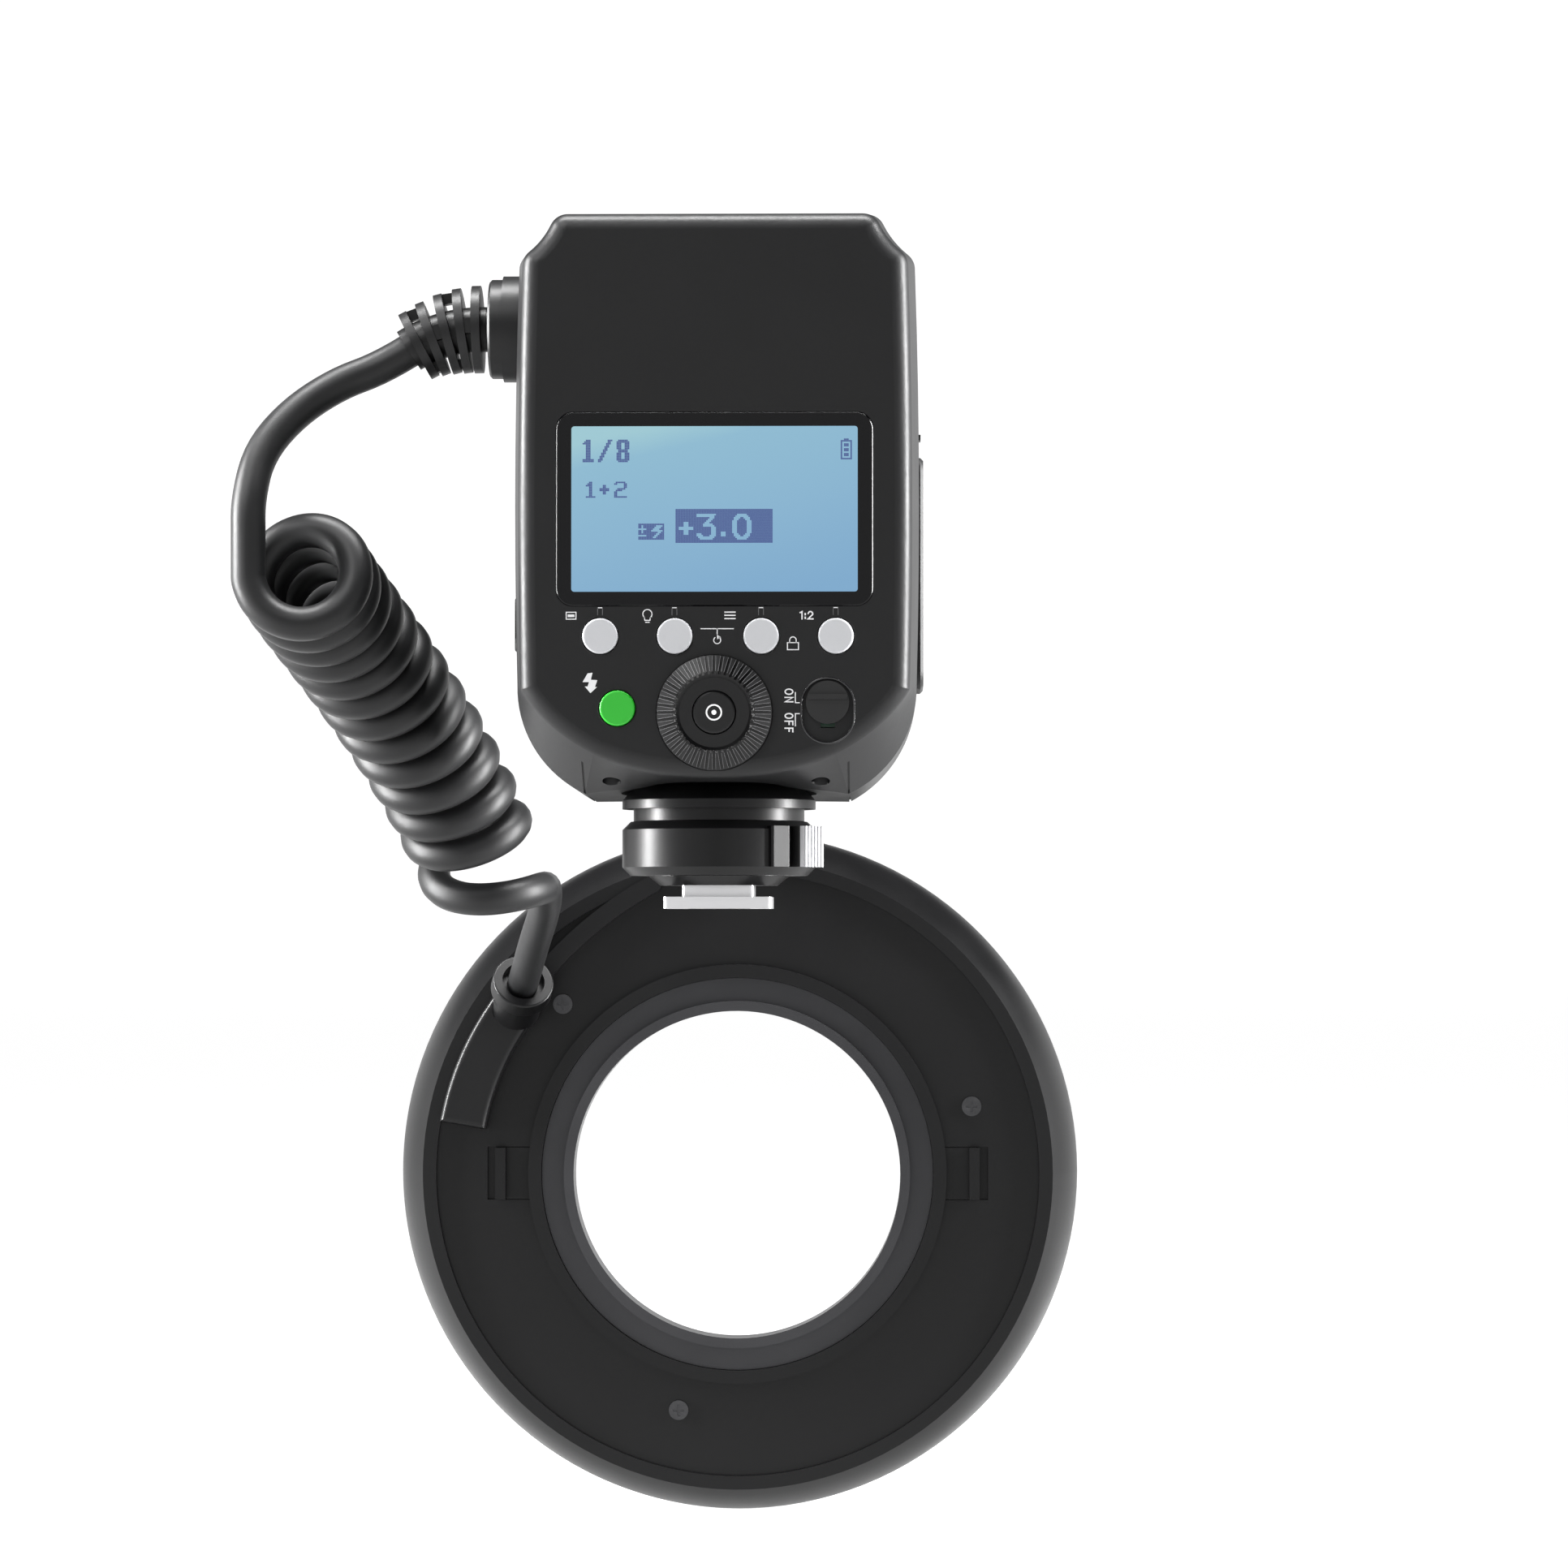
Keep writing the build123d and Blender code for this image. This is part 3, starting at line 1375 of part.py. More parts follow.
# Outer bezel: it closes the rim and holds the diffuser under its lip
bezel_back = front_depth - bezel_front
with BuildPart() as outer_bezel:
    with BuildSketch(ring_section):
        with BuildLine():
            Polyline(
                (ring_radius, rim_depth),
                (ring_radius, front_depth - bezel_front),
                (ring_radius - bezel_front, front_depth),
                (diffuser_outer - bezel_lip, front_depth),
                (diffuser_outer - bezel_lip, bezel_back),
                (diffuser_outer + seat_gap, bezel_back),
                (diffuser_outer + seat_gap, diffuser_depth),
                (rim_inside - seat_gap - ring_wall, rim_depth - bezel_tongue),
                (rim_inside - seat_gap, rim_depth - bezel_tongue),
                (rim_inside - seat_gap, rim_depth),
                close=True,
            )
        make_face()
    revolve(axis=ring_axis)
keep(outer_bezel.part, "outer_bezel")

# Inner bezel: the sleeve round the bore, its flange on the hub and the front ring with the lamps
lamp_places = [polar(diffuser_inner - lamp_inset, angle) for angle in (0, 180)]
with BuildPart() as inner_bezel:
    with BuildSketch(ring_section):
        with BuildLine():
            Polyline(
                (sleeve_radius, seat_depth),
                (hub_radius, seat_depth),
                (hub_radius, seat_depth + sleeve_wall),
                (sleeve_radius + sleeve_wall, seat_depth + sleeve_wall),
                (sleeve_radius + sleeve_wall, front_depth - front_ring_depth),
                (diffuser_inner - seat_gap, front_depth - front_ring_depth),
                (diffuser_inner - seat_gap, bezel_back),
                (diffuser_inner + bezel_lip, bezel_back),
                (diffuser_inner + bezel_lip, front_depth),
                (sleeve_radius, front_depth),
                close=True,
            )
        make_face()
    revolve(axis=ring_axis)
    with BuildSketch(ring_plane(front_depth)):
        with Locations(*lamp_places):
            Circle(lamp_radius + seat_gap)
    extrude(amount=front_ring_depth, mode=Mode.SUBTRACT)
keep(inner_bezel.part, "inner_bezel")

for number, place in enumerate(lamp_places, start=1):
    with BuildPart() as lamp:
        with BuildSketch(ring_plane(front_depth + lamp_proud)):
            with Locations(place):
                Circle(lamp_radius)
        extrude(amount=lamp_length)
        fillet(lamp.edges().group_by(Axis.Y)[-1], radius=lamp_proud)
    keep(lamp.part, f"modelling_lamp_{number}")

# Adapter ring: thread, flange and the groove that the latches hold
adapter_back = ring_depth + adapter_inset
adapter_front = seat_depth - adapter_play
with BuildPart() as adapter_ring:
    with BuildSketch(ring_section):
        with BuildLine():
            Polyline(
                (adapter_bore, adapter_back - thread_length),
                (thread_radius, adapter_back - thread_length),
                (thread_radius, adapter_back),
                (adapter_radius, adapter_back),
                (adapter_radius, latch_depth - groove_width / 2),
                (adapter_radius - groove_depth, latch_depth - groove_width / 2),
                (adapter_radius - groove_depth, latch_depth + groove_width / 2),
                (adapter_radius, latch_depth + groove_width / 2),
                (adapter_radius, adapter_front),
                (adapter_bore, adapter_front),
                close=True,
            )
        make_face()
    revolve(axis=ring_axis)
keep(adapter_ring.part, "adapter_ring")

# Release latches, right and left, each with a finger tab
latch_tip = adapter_radius - latch_grip
for side, side_name in ((-1, "left"), (1, "right")):
    with BuildPart() as latch:
        with BuildSketch(ring_plane(latch_depth + latch_thickness / 2)):
            with Locations((side * (latch_tip + latch_end) / 2, 0)):
                Rectangle(latch_end - latch_tip, latch_width)
        extrude(amount=latch_thickness)
        with BuildSketch(ring_plane(latch_depth)):
            with Locations((side * (latch_end - latch_tab_width / 2), 0)):
                Rectangle(latch_tab_width, latch_width)
        extrude(amount=latch_thickness / 2 + latch_tab_rise)
    keep(latch.part, f"release_latch_{side_name}")
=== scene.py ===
"""Looks of the macro ring flash, in metres: +Z up, display towards -Y, ring light along +Y."""

import math

import bmesh
import bpy
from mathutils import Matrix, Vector


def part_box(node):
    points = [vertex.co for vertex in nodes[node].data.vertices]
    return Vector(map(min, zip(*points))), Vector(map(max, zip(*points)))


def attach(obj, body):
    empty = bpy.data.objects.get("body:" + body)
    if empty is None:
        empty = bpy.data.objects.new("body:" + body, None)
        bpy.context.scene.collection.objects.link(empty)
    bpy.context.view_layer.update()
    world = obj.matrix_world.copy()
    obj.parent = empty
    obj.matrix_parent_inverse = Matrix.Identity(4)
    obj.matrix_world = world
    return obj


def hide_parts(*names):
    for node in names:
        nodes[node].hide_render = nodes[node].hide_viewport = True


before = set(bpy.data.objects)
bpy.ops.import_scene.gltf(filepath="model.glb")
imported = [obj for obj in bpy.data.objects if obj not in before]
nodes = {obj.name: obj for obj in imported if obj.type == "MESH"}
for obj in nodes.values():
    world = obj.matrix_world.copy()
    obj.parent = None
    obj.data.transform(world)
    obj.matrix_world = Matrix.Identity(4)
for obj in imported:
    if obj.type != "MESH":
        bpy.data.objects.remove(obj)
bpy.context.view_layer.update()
MM = 0.001


# Helpers for the scene and its materials
def in_scene(name, data):
    """A new object in the scene"""
    thing = bpy.data.objects.new(name, data)
    bpy.context.scene.collection.objects.link(thing)
    return thing


def turn_to(thing, target):
    """Turns a camera or a light towards a target"""
    aim = Vector(target) - thing.location
    thing.rotation_euler = aim.to_track_quat("-Z", "Y").to_euler()


def add_node(tree, kind, **inputs):
    """A new shader node with its inputs set"""
    node = tree.nodes.new("ShaderNode" + kind)
    for key, value in inputs.items():
        node.inputs[key.replace("_", " ")].default_value = value
    return node


def add_ramp(tree, *stops):
    """A color ramp through stops of position and color"""
    ramp = add_node(tree, "ValToRGB")
    elements = ramp.color_ramp.elements
    first, *between, last = stops
    for element, (position, color) in zip(elements, (first, last)):
        element.position, element.color = position, (*color, 1)
    for position, color in between:
        elements.new(position).color = (*color, 1)
    return ramp


def add_sum(tree, source, share, rest):
    """A value that is share times one output plus another output"""
    node = add_node(tree, "Math")
    node.operation = "MULTIPLY_ADD"
    tree.links.new(source, node.inputs[0])
    node.inputs[1].default_value = share
    tree.links.new(rest, node.inputs[2])
    return node.outputs[0]


def plain(name, color, roughness, metallic=0.0, **sockets):
    """A material and its Principled shader"""
    material = bpy.data.materials.new(name)
    material.use_nodes = True
    shader = material.node_tree.nodes["Principled BSDF"]
    shader.inputs["Base Color"].default_value = (*color, 1)
    shader.inputs["Roughness"].default_value = roughness
    shader.inputs["Metallic"].default_value = metallic
    for key, value in sockets.items():
        shader.inputs[key.replace("_", " ")].default_value = value
    return material, shader


FINE_DETAIL, SLOW_DETAIL = 2, 4
FINE_SHARE = 0.35
MIX_LOW, MIX_HIGH = 0.3, 1.0
TONE_LOW, TONE_HIGH = 0.35, 0.95
LEAST_ROUGHNESS = 0.02


def grained(name, color, roughness, grain=0.35, depth=0.012, spread=0.06, tint=0.12, patch=18,
            metallic=0.0, stretch=(1, 1, 1), **sockets):
    """Moulded surface: fine grain in the bump, slow changes in roughness and tone.

    grain, depth and patch are in mm; spread and tint are the changes in roughness and tone."""
    material, shader = plain(name, color, roughness, metallic, **sockets)
    tree = material.node_tree
    link = tree.links.new
    place = add_node(tree, "TexCoord")
    scale = add_node(tree, "Mapping", Scale=stretch)
    link(place.outputs["Object"], scale.inputs["Vector"])
    fine = add_node(tree, "TexNoise", Scale=1 / (grain * MM), Detail=FINE_DETAIL)
    slow = add_node(tree, "TexNoise", Scale=1 / (patch * MM), Detail=SLOW_DETAIL)
    for noise in (fine, slow):
        link(scale.outputs["Vector"], noise.inputs["Vector"])
    bump = add_node(tree, "Bump", Strength=1, Distance=depth * MM)
    link(fine.outputs["Fac"], bump.inputs["Height"])
    link(bump.outputs["Normal"], shader.inputs["Normal"])
    mixed = add_sum(tree, fine.outputs["Fac"], FINE_SHARE, slow.outputs["Fac"])
    rough = add_node(tree, "MapRange", From_Min=MIX_LOW, From_Max=MIX_HIGH,
                     To_Min=max(roughness - spread, LEAST_ROUGHNESS),
                     To_Max=min(roughness + spread, 1))
    link(mixed, rough.inputs["Value"])
    link(rough.outputs["Result"], shader.inputs["Roughness"])
    tone = add_ramp(tree, (TONE_LOW, [c * (1 - tint) for c in color]),
                    (TONE_HIGH, [min(c * (1 + tint), 1) for c in color]))
    link(mixed, tone.inputs["Fac"])
    link(tone.outputs["Color"], shader.inputs["Base Color"])
    return material


# Materials: black plastics and rubbers first, then keys, metals, lamps and print
body_plastic = grained("body_plastic", (0.0030, 0.0031, 0.0035), 0.42, grain=0.3, depth=0.010,
                       Specular_IOR_Level=0.28)
collar_plastic = grained("collar_plastic", (0.0022, 0.0022, 0.0024), 0.34, grain=0.5, depth=0.004,
                         Specular_IOR_Level=0.20)
ring_plastic = grained("ring_plastic", (0.0016, 0.0016, 0.0018), 0.36, grain=0.35, depth=0.006,
                       Specular_IOR_Level=0.20)
battery_plastic = grained("battery_plastic", (0.0060, 0.0060, 0.0064), 0.50, grain=0.25,
                          depth=0.012, Specular_IOR_Level=0.3)
dial_plastic = grained("dial_plastic", (0.0040, 0.0040, 0.0043), 0.36, grain=0.3, depth=0.004,
                       Specular_IOR_Level=0.28)
switch_plastic = grained("switch_plastic", (0.0040, 0.0040, 0.0042), 0.34, grain=0.3, depth=0.004,
                         Specular_IOR_Level=0.4)
cord_rubber = grained("cord_rubber", (0.0040, 0.0041, 0.0045), 0.46, grain=0.45, depth=0.012,
                      tint=0.2, patch=6, Specular_IOR_Level=0.30, Sheen_Weight=0.01,
                      Sheen_Roughness=0.5)
relief_rubber = grained("relief_rubber", (0.0030, 0.0030, 0.0033), 0.42, grain=0.3, depth=0.010,
                        Specular_IOR_Level=0.30)
port_rubber = grained("port_rubber", (0.0055, 0.0055, 0.0058), 0.60, grain=0.25, depth=0.012,
                      Specular_IOR_Level=0.3)
window_black = grained("window_black", (0.002, 0.002, 0.0025), 0.18, grain=1.2, depth=0.001,
                       spread=0.03, patch=40, Specular_IOR_Level=0.18)
key_grey = grained("key_grey", (0.42, 0.425, 0.44), 0.42, grain=0.25, depth=0.004, tint=0.03)
key_green = grained("key_green", (0.010, 0.34, 0.012), 0.38, grain=0.25, depth=0.003, tint=0.04)
grip_grey = grained("grip_grey", (0.34, 0.34, 0.35), 0.45, grain=0.25, depth=0.004, tint=0.05)
board_green = grained("board_green", (0.012, 0.10, 0.045), 0.35, grain=0.8, depth=0.01, tint=0.3,
                      patch=4)
can_sleeve = grained("can_sleeve", (0.02, 0.02, 0.045), 0.3, grain=1.0, depth=0.004)
gold = grained("gold", (0.83, 0.60, 0.24), 0.24, grain=0.2, depth=0.002, metallic=1.0, tint=0.08,
               patch=2)
steel = grained("steel", (0.56, 0.56, 0.57), 0.30, grain=0.12, depth=0.003, metallic=1.0, tint=0.1,
                stretch=(0.05, 1, 1))
dark_screw = grained("dark_screw", (0.05, 0.05, 0.052), 0.36, grain=0.15, depth=0.004, metallic=1.0,
                     tint=0.2, patch=2)
carrier_plastic = grained("carrier_plastic", (0.012, 0.012, 0.012), 0.55, grain=0.2, depth=0.010)
bright_foil = grained("bright_foil", (0.86, 0.86, 0.87), 0.12, grain=1.5, depth=0.03, metallic=1.0,
                      tint=0.04)
anodised = grained("anodised", (0.028, 0.028, 0.030), 0.34, grain=0.2, depth=0.003, metallic=0.7,
                   tint=0.15, stretch=(1, 0.08, 1))
tube_glass = grained("tube_glass", (0.93, 0.94, 0.95), 0.06, grain=3, depth=0.004, tint=0.01,
                     Transmission_Weight=0.75)
lamp_lens = grained("lamp_lens", (0.95, 0.93, 0.82), 0.10, grain=0.8, depth=0.006, tint=0.02,
                    Transmission_Weight=0.4)
assist_red = grained("assist_red", (0.045, 0.002, 0.004), 0.10, grain=2, depth=0.002, tint=0.1,
                     Coat_Weight=0.5)
print_white = grained("print_white", (0.62, 0.62, 0.63), 0.55, grain=0.15, depth=0.004, tint=0.06,
                      patch=2)
print_bright = grained("print_bright", (0.80, 0.80, 0.81), 0.5, grain=0.15, depth=0.004, tint=0.04,
                       patch=2)
diffuser_white = grained("diffuser_white", (0.80, 0.80, 0.79), 0.42, grain=0.9, depth=0.10,
                         tint=0.03, Subsurface_Weight=0.15, Transmission_Weight=0.12)
pixel_blue = grained("pixel_blue", (0.004, 0.007, 0.020), 0.5, grain=0.3, depth=0.002, tint=0.1,
                     patch=2, Emission_Color=(0.038, 0.068, 0.235, 1), Emission_Strength=1.0)
# Light grey for the printed lead lines, and for the painted highlights on the dial's rib edges
lead_print_and_rib_highlight_grey = grained("lead_print_and_rib_highlight_grey", (0.075, 0.075, 0.078), 0.30, grain=0.2, depth=0.002, tint=0.3,
                    patch=2)
lip_gloss = grained("lip_gloss", (0.010, 0.010, 0.011), 0.22, grain=0.4, depth=0.002, tint=0.2,
                    patch=3)
# Black for the painted shade round the keys
painted_gap_shade = grained("painted_gap_shade", (0.002, 0.002, 0.002), 0.8, grain=0.3, depth=0.002)

# Dressing of the pieces that come from the CAD
dressing = {
    body_plastic: ["housing_rear", "housing_front", "battery_catch", "cable_gland"],
    collar_plastic: ["foot_base", "lock_ring"],
    ring_plastic: ["ring_rear_shell", "outer_bezel", "inner_bezel", "cable_clamp", "cable_boot",
                   "release_latch_left", "release_latch_right"],
    battery_plastic: ["battery"],
    dial_plastic: ["dial", "set_key"],
    switch_plastic: ["power_switch"],
    relief_rubber: ["strain_relief"],
    port_rubber: ["port_cover"],
    window_black: ["lcd_window", "lcd_panel"],
    key_grey: ["key_1", "key_2", "key_3", "key_4"],
    key_green: ["test_key"],
    grip_grey: ["lever_grip"],
    board_green: ["control_board", "power_board", "ring_board"],
    can_sleeve: ["main_capacitor"],
    gold: ["battery_contacts", "contact_1", "contact_2", "contact_3", "contact_4", "contact_5"],
    steel: ["shoe_plate", "lock_pin", "data_socket", "sync_socket"],
    dark_screw: ["case_screw_right", "case_screw_left", "ring_screw_1", "ring_screw_2",
                 "ring_screw_3"],
    carrier_plastic: ["contact_carrier"],
    diffuser_white: ["diffuser"],
    bright_foil: ["reflector_left", "reflector_right"],
    tube_glass: ["flash_tube_left", "flash_tube_right"],
    lamp_lens: ["modelling_lamp_1", "modelling_lamp_2"],
    anodised: ["adapter_ring"],
    assist_red: ["assist_window"],
}
for material, names in dressing.items():
    for name in names:
        nodes[name].data.materials.clear()
        nodes[name].data.materials.append(material)


# Helpers for new pieces
def dress(piece, material, body="control_unit"):
    """Gives a new piece its material and its body"""
    piece.data.materials.clear()
    piece.data.materials.append(material)
    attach(piece, body)
    return piece


def mesh_piece(name, verts, faces):
    """A piece from its points and faces"""
    mesh = bpy.data.meshes.new(name)
    mesh.from_pydata(verts, [], faces)
    mesh.update()
    return in_scene(name, mesh)


def made_piece(name, made):
    """A piece from a bmesh, with all its faces turned outwards"""
    bmesh.ops.recalc_face_normals(made, faces=made.faces)
    mesh = bpy.data.meshes.new(name)
    made.to_mesh(mesh)
    made.free()
    return in_scene(name, mesh)


def smooth(piece):
    """Smooth shading on every face"""
    for face in piece.data.polygons:
        face.use_smooth = True
    return piece


def sheet(name, material, outlines, y, thickness, body="control_unit"):
    """Flat figures on a face that looks along -Y. Outlines are lists of (x, z) in mm"""
    made = bmesh.new()
    for outline in outlines:
        front = [made.verts.new((x * MM, (y - thickness) * MM, z * MM)) for x, z in outline]
        back = [made.verts.new((x * MM, y * MM, z * MM)) for x, z in outline]
        made.faces.new(front)
        for i in range(len(front)):
            j = (i + 1) % len(front)
            made.faces.new((front[i], back[i], back[j], front[j]))
    return dress(made_piece(name, made), material, body)


def rounded(cx, cz, width, height, radius, steps=6):
    """A rounded rectangle's outline"""
    points = []
    for sx, sz, start in ((1, 1, 0), (-1, 1, 90), (-1, -1, 180), (1, -1, 270)):
        for k in range(steps + 1):
            a = math.radians(start + 90 * k / steps)
            points.append((cx + sx * (width / 2 - radius) + radius * math.cos(a),
                           cz + sz * (height / 2 - radius) + radius * math.sin(a)))
    return points


def circle(cx, cz, radius, start=0, sweep=360, steps=24):
    """Points of a circle or an arc, angles in degrees"""
    angles = [math.radians(start + sweep * k / steps) for k in range(steps + 1)]
    return [(cx + radius * math.cos(a), cz + radius * math.sin(a)) for a in angles]


SAME_POINT = 1e-4
LEAST_MITRE = 0.4


def stroke(points, width):
    """A line of constant width as a run of quads with mitred corners, closed where its ends meet"""
    points = [Vector(point) for point in points]
    closed = (points[0] - points[-1]).length < SAME_POINT
    ways = [(b - a).normalized() for a, b in zip(points, points[1:])]
    if not closed:
        points[0] = points[0] - ways[0] * width / 2
        points[-1] = points[-1] + ways[-1] * width / 2
    pairs = []
    for i, point in enumerate(points):
        before = ways[i - 1] if i or closed else ways[0]
        after = ways[i % len(ways)] if i < len(ways) or closed else ways[-1]
        across = Vector((-before.y - after.y, before.x + after.x)).normalized()
        reach = width / 2 / max(across.dot(Vector((-after.y, after.x))), LEAST_MITRE)
        pairs.append((point + across * reach, point - across * reach))
    return [[tuple(p) for p in (a, b, d, c)] for (a, b), (c, d) in zip(pairs, pairs[1:])]


# Cord: out of the strain relief, round the curly stretch and into the ring head, on one spline.
# The coil's axis is a Bezier curve; lengths are in mm
WIRE = 6.0
COIL_RADIUS = 9.0
TURNS = 12.52
LOOSE_TURNS = 1.0
LOOSENING = 0.9
AXIS_START, AXIS_END = Vector((-71.3, -14.0, 57.8)), Vector((-43.0, 57.5, 1.4))
START_AIM, END_AIM = Vector((0.05, 0.95, -0.20)), Vector((0.27, 0.38, -0.885))
START_HANDLE, END_HANDLE = 35.0, 34.0
UPPER = [(-54.0, 0.0, 97.0), (-58.9, 0.0, 94.0), (-66.2, -1.4, 91.2), (-73.6, -4.8, 85.8),
         (-79.0, -8.8, 78.6)]
LOWER = [(-35.1, 79.3, 0.6), (-38.4, 92.2, -6.7), (-41.2, 103.5, -14.3)]
UPPER_RUN, LOWER_RUN = 6.5, 7.0
SLIGHT_TURN = 0.002
POINTS_PER_TURN = 16
AXIS_STEPS = 2000
SPLINE_ORDER, SPLINE_STEPS, WIRE_STEPS = 3, 5, 6

handles = (AXIS_START, AXIS_START + START_AIM.normalized() * START_HANDLE,
           AXIS_END - END_AIM.normalized() * END_HANDLE, AXIS_END)


def axis_at(u):
    """The axis of the coil, from 0 at the unit to 1 at the ring head"""
    a, b, c, d = handles
    v = 1 - u
    return a * v**3 + b * 3 * v * v * u + c * 3 * v * u * u + d * u**3


def axis_aim(u):
    """The direction of the axis"""
    a, b, c, d = handles
    v = 1 - u
    return ((b - a) * 3 * v * v + (c - b) * 6 * v * u + (d - c) * 3 * u * u).normalized()


lengths = [0.0]
for step in range(AXIS_STEPS):
    piece_of_axis = axis_at((step + 1) / AXIS_STEPS) - axis_at(step / AXIS_STEPS)
    lengths.append(lengths[-1] + piece_of_axis.length)


def coil_way(turn):
    """How far the coil has gone along its axis, with wider steps over the last turns"""
    return turn + LOOSENING * max(turn - (TURNS - LOOSE_TURNS), 0)**2


def coil_at(turn, radius=COIL_RADIUS):
    """A point of the winding: it starts at the left and goes down first"""
    way = coil_way(turn) / coil_way(TURNS) * lengths[-1]
    low, high = 0, AXIS_STEPS
    while high - low > 1:
        middle = (low + high) // 2
        low, high = (middle, high) if lengths[middle] <= way else (low, middle)
    u = (low + (way - lengths[low]) / (lengths[high] - lengths[low])) / AXIS_STEPS
    along = axis_aim(u)
    left = Vector((-1, 0, 0))
    side = (left - along * left.dot(along)).normalized()
    down = side.cross(along)
    angle = 2 * math.pi * turn
    return axis_at(u) + (side * math.cos(angle) + down * math.sin(angle)) * radius


entry_aim = (coil_at(SLIGHT_TURN) - coil_at(0)).normalized()
exit_aim = (coil_at(TURNS) - coil_at(TURNS - SLIGHT_TURN)).normalized()
entry = coil_at(0) - entry_aim * WIRE
leave = coil_at(TURNS) + exit_aim * WIRE
# The spline runs inside its points, so the points of the coil lie a little further out
swell = COIL_RADIUS / (0.75 + 0.25 * math.cos(2 * math.pi / POINTS_PER_TURN))
route = [Vector(p) for p in UPPER] + [entry - entry_aim * UPPER_RUN, entry, coil_at(0)]
count = round(TURNS * POINTS_PER_TURN)
route += [coil_at(TURNS * (k + 0.5) / count, swell) for k in range(count)]
route += [coil_at(TURNS), leave, leave + exit_aim * LOWER_RUN] + [Vector(p) for p in LOWER]

curve = bpy.data.curves.new("cord", "CURVE")
curve.dimensions = "3D"
spline = curve.splines.new("NURBS")
spline.points.add(len(route) - 1)
for point, place in zip(spline.points, route):
    point.co = (*(place * MM), 1)
spline.order_u = SPLINE_ORDER
spline.use_endpoint_u = True
spline.resolution_u = SPLINE_STEPS
curve.bevel_depth = WIRE / 2 * MM
curve.bevel_resolution = WIRE_STEPS
curve.use_fill_caps = True
cord = in_scene("cord", curve)
dress(cord, cord_rubber)
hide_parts("cord_upper", "cord_coil", "cord_lower")

# Places on the rear of the unit, in mm
REAR = -25.0
WINDOW_RISE = 0.15
WINDOW_Y = REAR - WINDOW_RISE
DISPLAY_Z, DISPLAY_WIDTH, DISPLAY_HEIGHT, DISPLAY_ROUND = 67.4, 48.4, 28.0, 0.5
PANEL_RISE, DOT_RISE, PRINT_RISE, SHADE_RISE = 0.03, 0.01, 0.02, 0.01
KEYS = [(-19.3, 45.9), (-6.7, 45.9), (7.9, 45.9), (20.5, 45.9), (-16.4, 33.7)]
KEY_SHADE_IN, KEY_SHADE_OUT, KEY_SHADE_STEPS = 3.22, 3.42, 48
SWITCH_X, SWITCH_Z, WELL_WIDTH, WELL_HEIGHT = 19.1, 33.3, 8.6, 10.7
DIAL_X, DIAL_Z, DIAL_GROOVES = 0.0, 32.9, 44

# The photograph's viewpoint in mm, its pixel, and the width of a pixel for each mm of distance.
# REAR_SPAN is what the frame shows across at the rear face; CLIP_END is in metres
VIEWPOINT = (29.4, -925.0, -4.3)
AIM = (11.75, -25.0, 20.9)
EYE_PX, EYE_PY = 1095, 1150
PIXEL_SLOPE = 0.000152
SENSOR, REAR_DISTANCE, REAR_SPAN = 36, 900, 264.3
CLIP_END = 20


def to_mm(px, py, y):
    """Where a pixel of the photograph lies on the plane Y = y"""
    pixel = (y - VIEWPOINT[1]) * PIXEL_SLOPE
    return (VIEWPOINT[0] + (px - EYE_PX) * pixel, VIEWPOINT[2] + (EYE_PY - py) * pixel)


# Lit panel on the window: it glows a little, paler to its upper left and deeper to its lower right
GLOW_TILT, GLOW_LOW, GLOW_HIGH = 14, -5, 31
CLOUD_SCALE, CLOUD_SHARE = 45, 0.16
GLOW_STRENGTH = 0.80

lit, lit_shader = plain("display_light", (0.008, 0.016, 0.022), 0.3)
tree = lit.node_tree
link = tree.links.new
place = add_node(tree, "TexCoord")
slope = add_node(tree, "Mapping", Location=(0, 0, -(DISPLAY_Z - DISPLAY_HEIGHT / 2) * MM),
                 Rotation=(0, math.radians(GLOW_TILT), 0))
link(place.outputs["Object"], slope.inputs["Vector"])
split = add_node(tree, "SeparateXYZ")
link(slope.outputs["Vector"], split.inputs["Vector"])
rise = add_node(tree, "MapRange", From_Min=GLOW_LOW * MM, From_Max=GLOW_HIGH * MM)
link(split.outputs["Z"], rise.inputs["Value"])
cloud = add_node(tree, "TexNoise", Scale=CLOUD_SCALE)
link(place.outputs["Object"], cloud.inputs["Vector"])
glow = add_ramp(tree, (0.05, (0.21, 0.43, 0.68)), (0.5, (0.26, 0.50, 0.71)),
                (0.88, (0.29, 0.55, 0.72)), (1.0, (0.38, 0.66, 0.74)))
link(add_sum(tree, cloud.outputs["Fac"], CLOUD_SHARE, rise.outputs["Result"]), glow.inputs["Fac"])
link(glow.outputs["Color"], lit_shader.inputs["Emission Color"])
lit_shader.inputs["Emission Strength"].default_value = GLOW_STRENGTH
panel = rounded(0, DISPLAY_Z, DISPLAY_WIDTH, DISPLAY_HEIGHT, DISPLAY_ROUND)
sheet("display_area", lit, [panel], WINDOW_Y, PANEL_RISE)

# Display pixels: drawn characters of a dot matrix, rows from above, # for a set dot
BIG = {
    "1": "....###. ...####. ..#####. ....###. ....###. ....###. ....###. ....###. ....###. "
         "....###. ....###. ....###. ..#######.. ..#######..",
    "/": "........### ........##. .......###. .......##.. ......###.. ......##... .....###... "
         ".....##.... ....###.... ....##..... ...###..... ...##...... ..###...... ..##.......",
    "8": "..######. .########. .###..###. .###..###. .###..###. .###..###. ..######. ..######. "
         ".###..###. .###..###. .###..###. .###..###. .########. ..######.",
}
SMALL = {
    "1": "..##.... .###.... ####.... ..##.... ..##.... ..##.... ..##.... ..##.... ..##.... "
         "######..",
    "+": "........ ........ ..##.... ..##.... ######.. ######.. ..##.... ..##.... ........ "
         "........",
    "2": ".######. ##....## ......## ......## ..#####. .####... ##...... ##...... ##...... "
         "########",
}
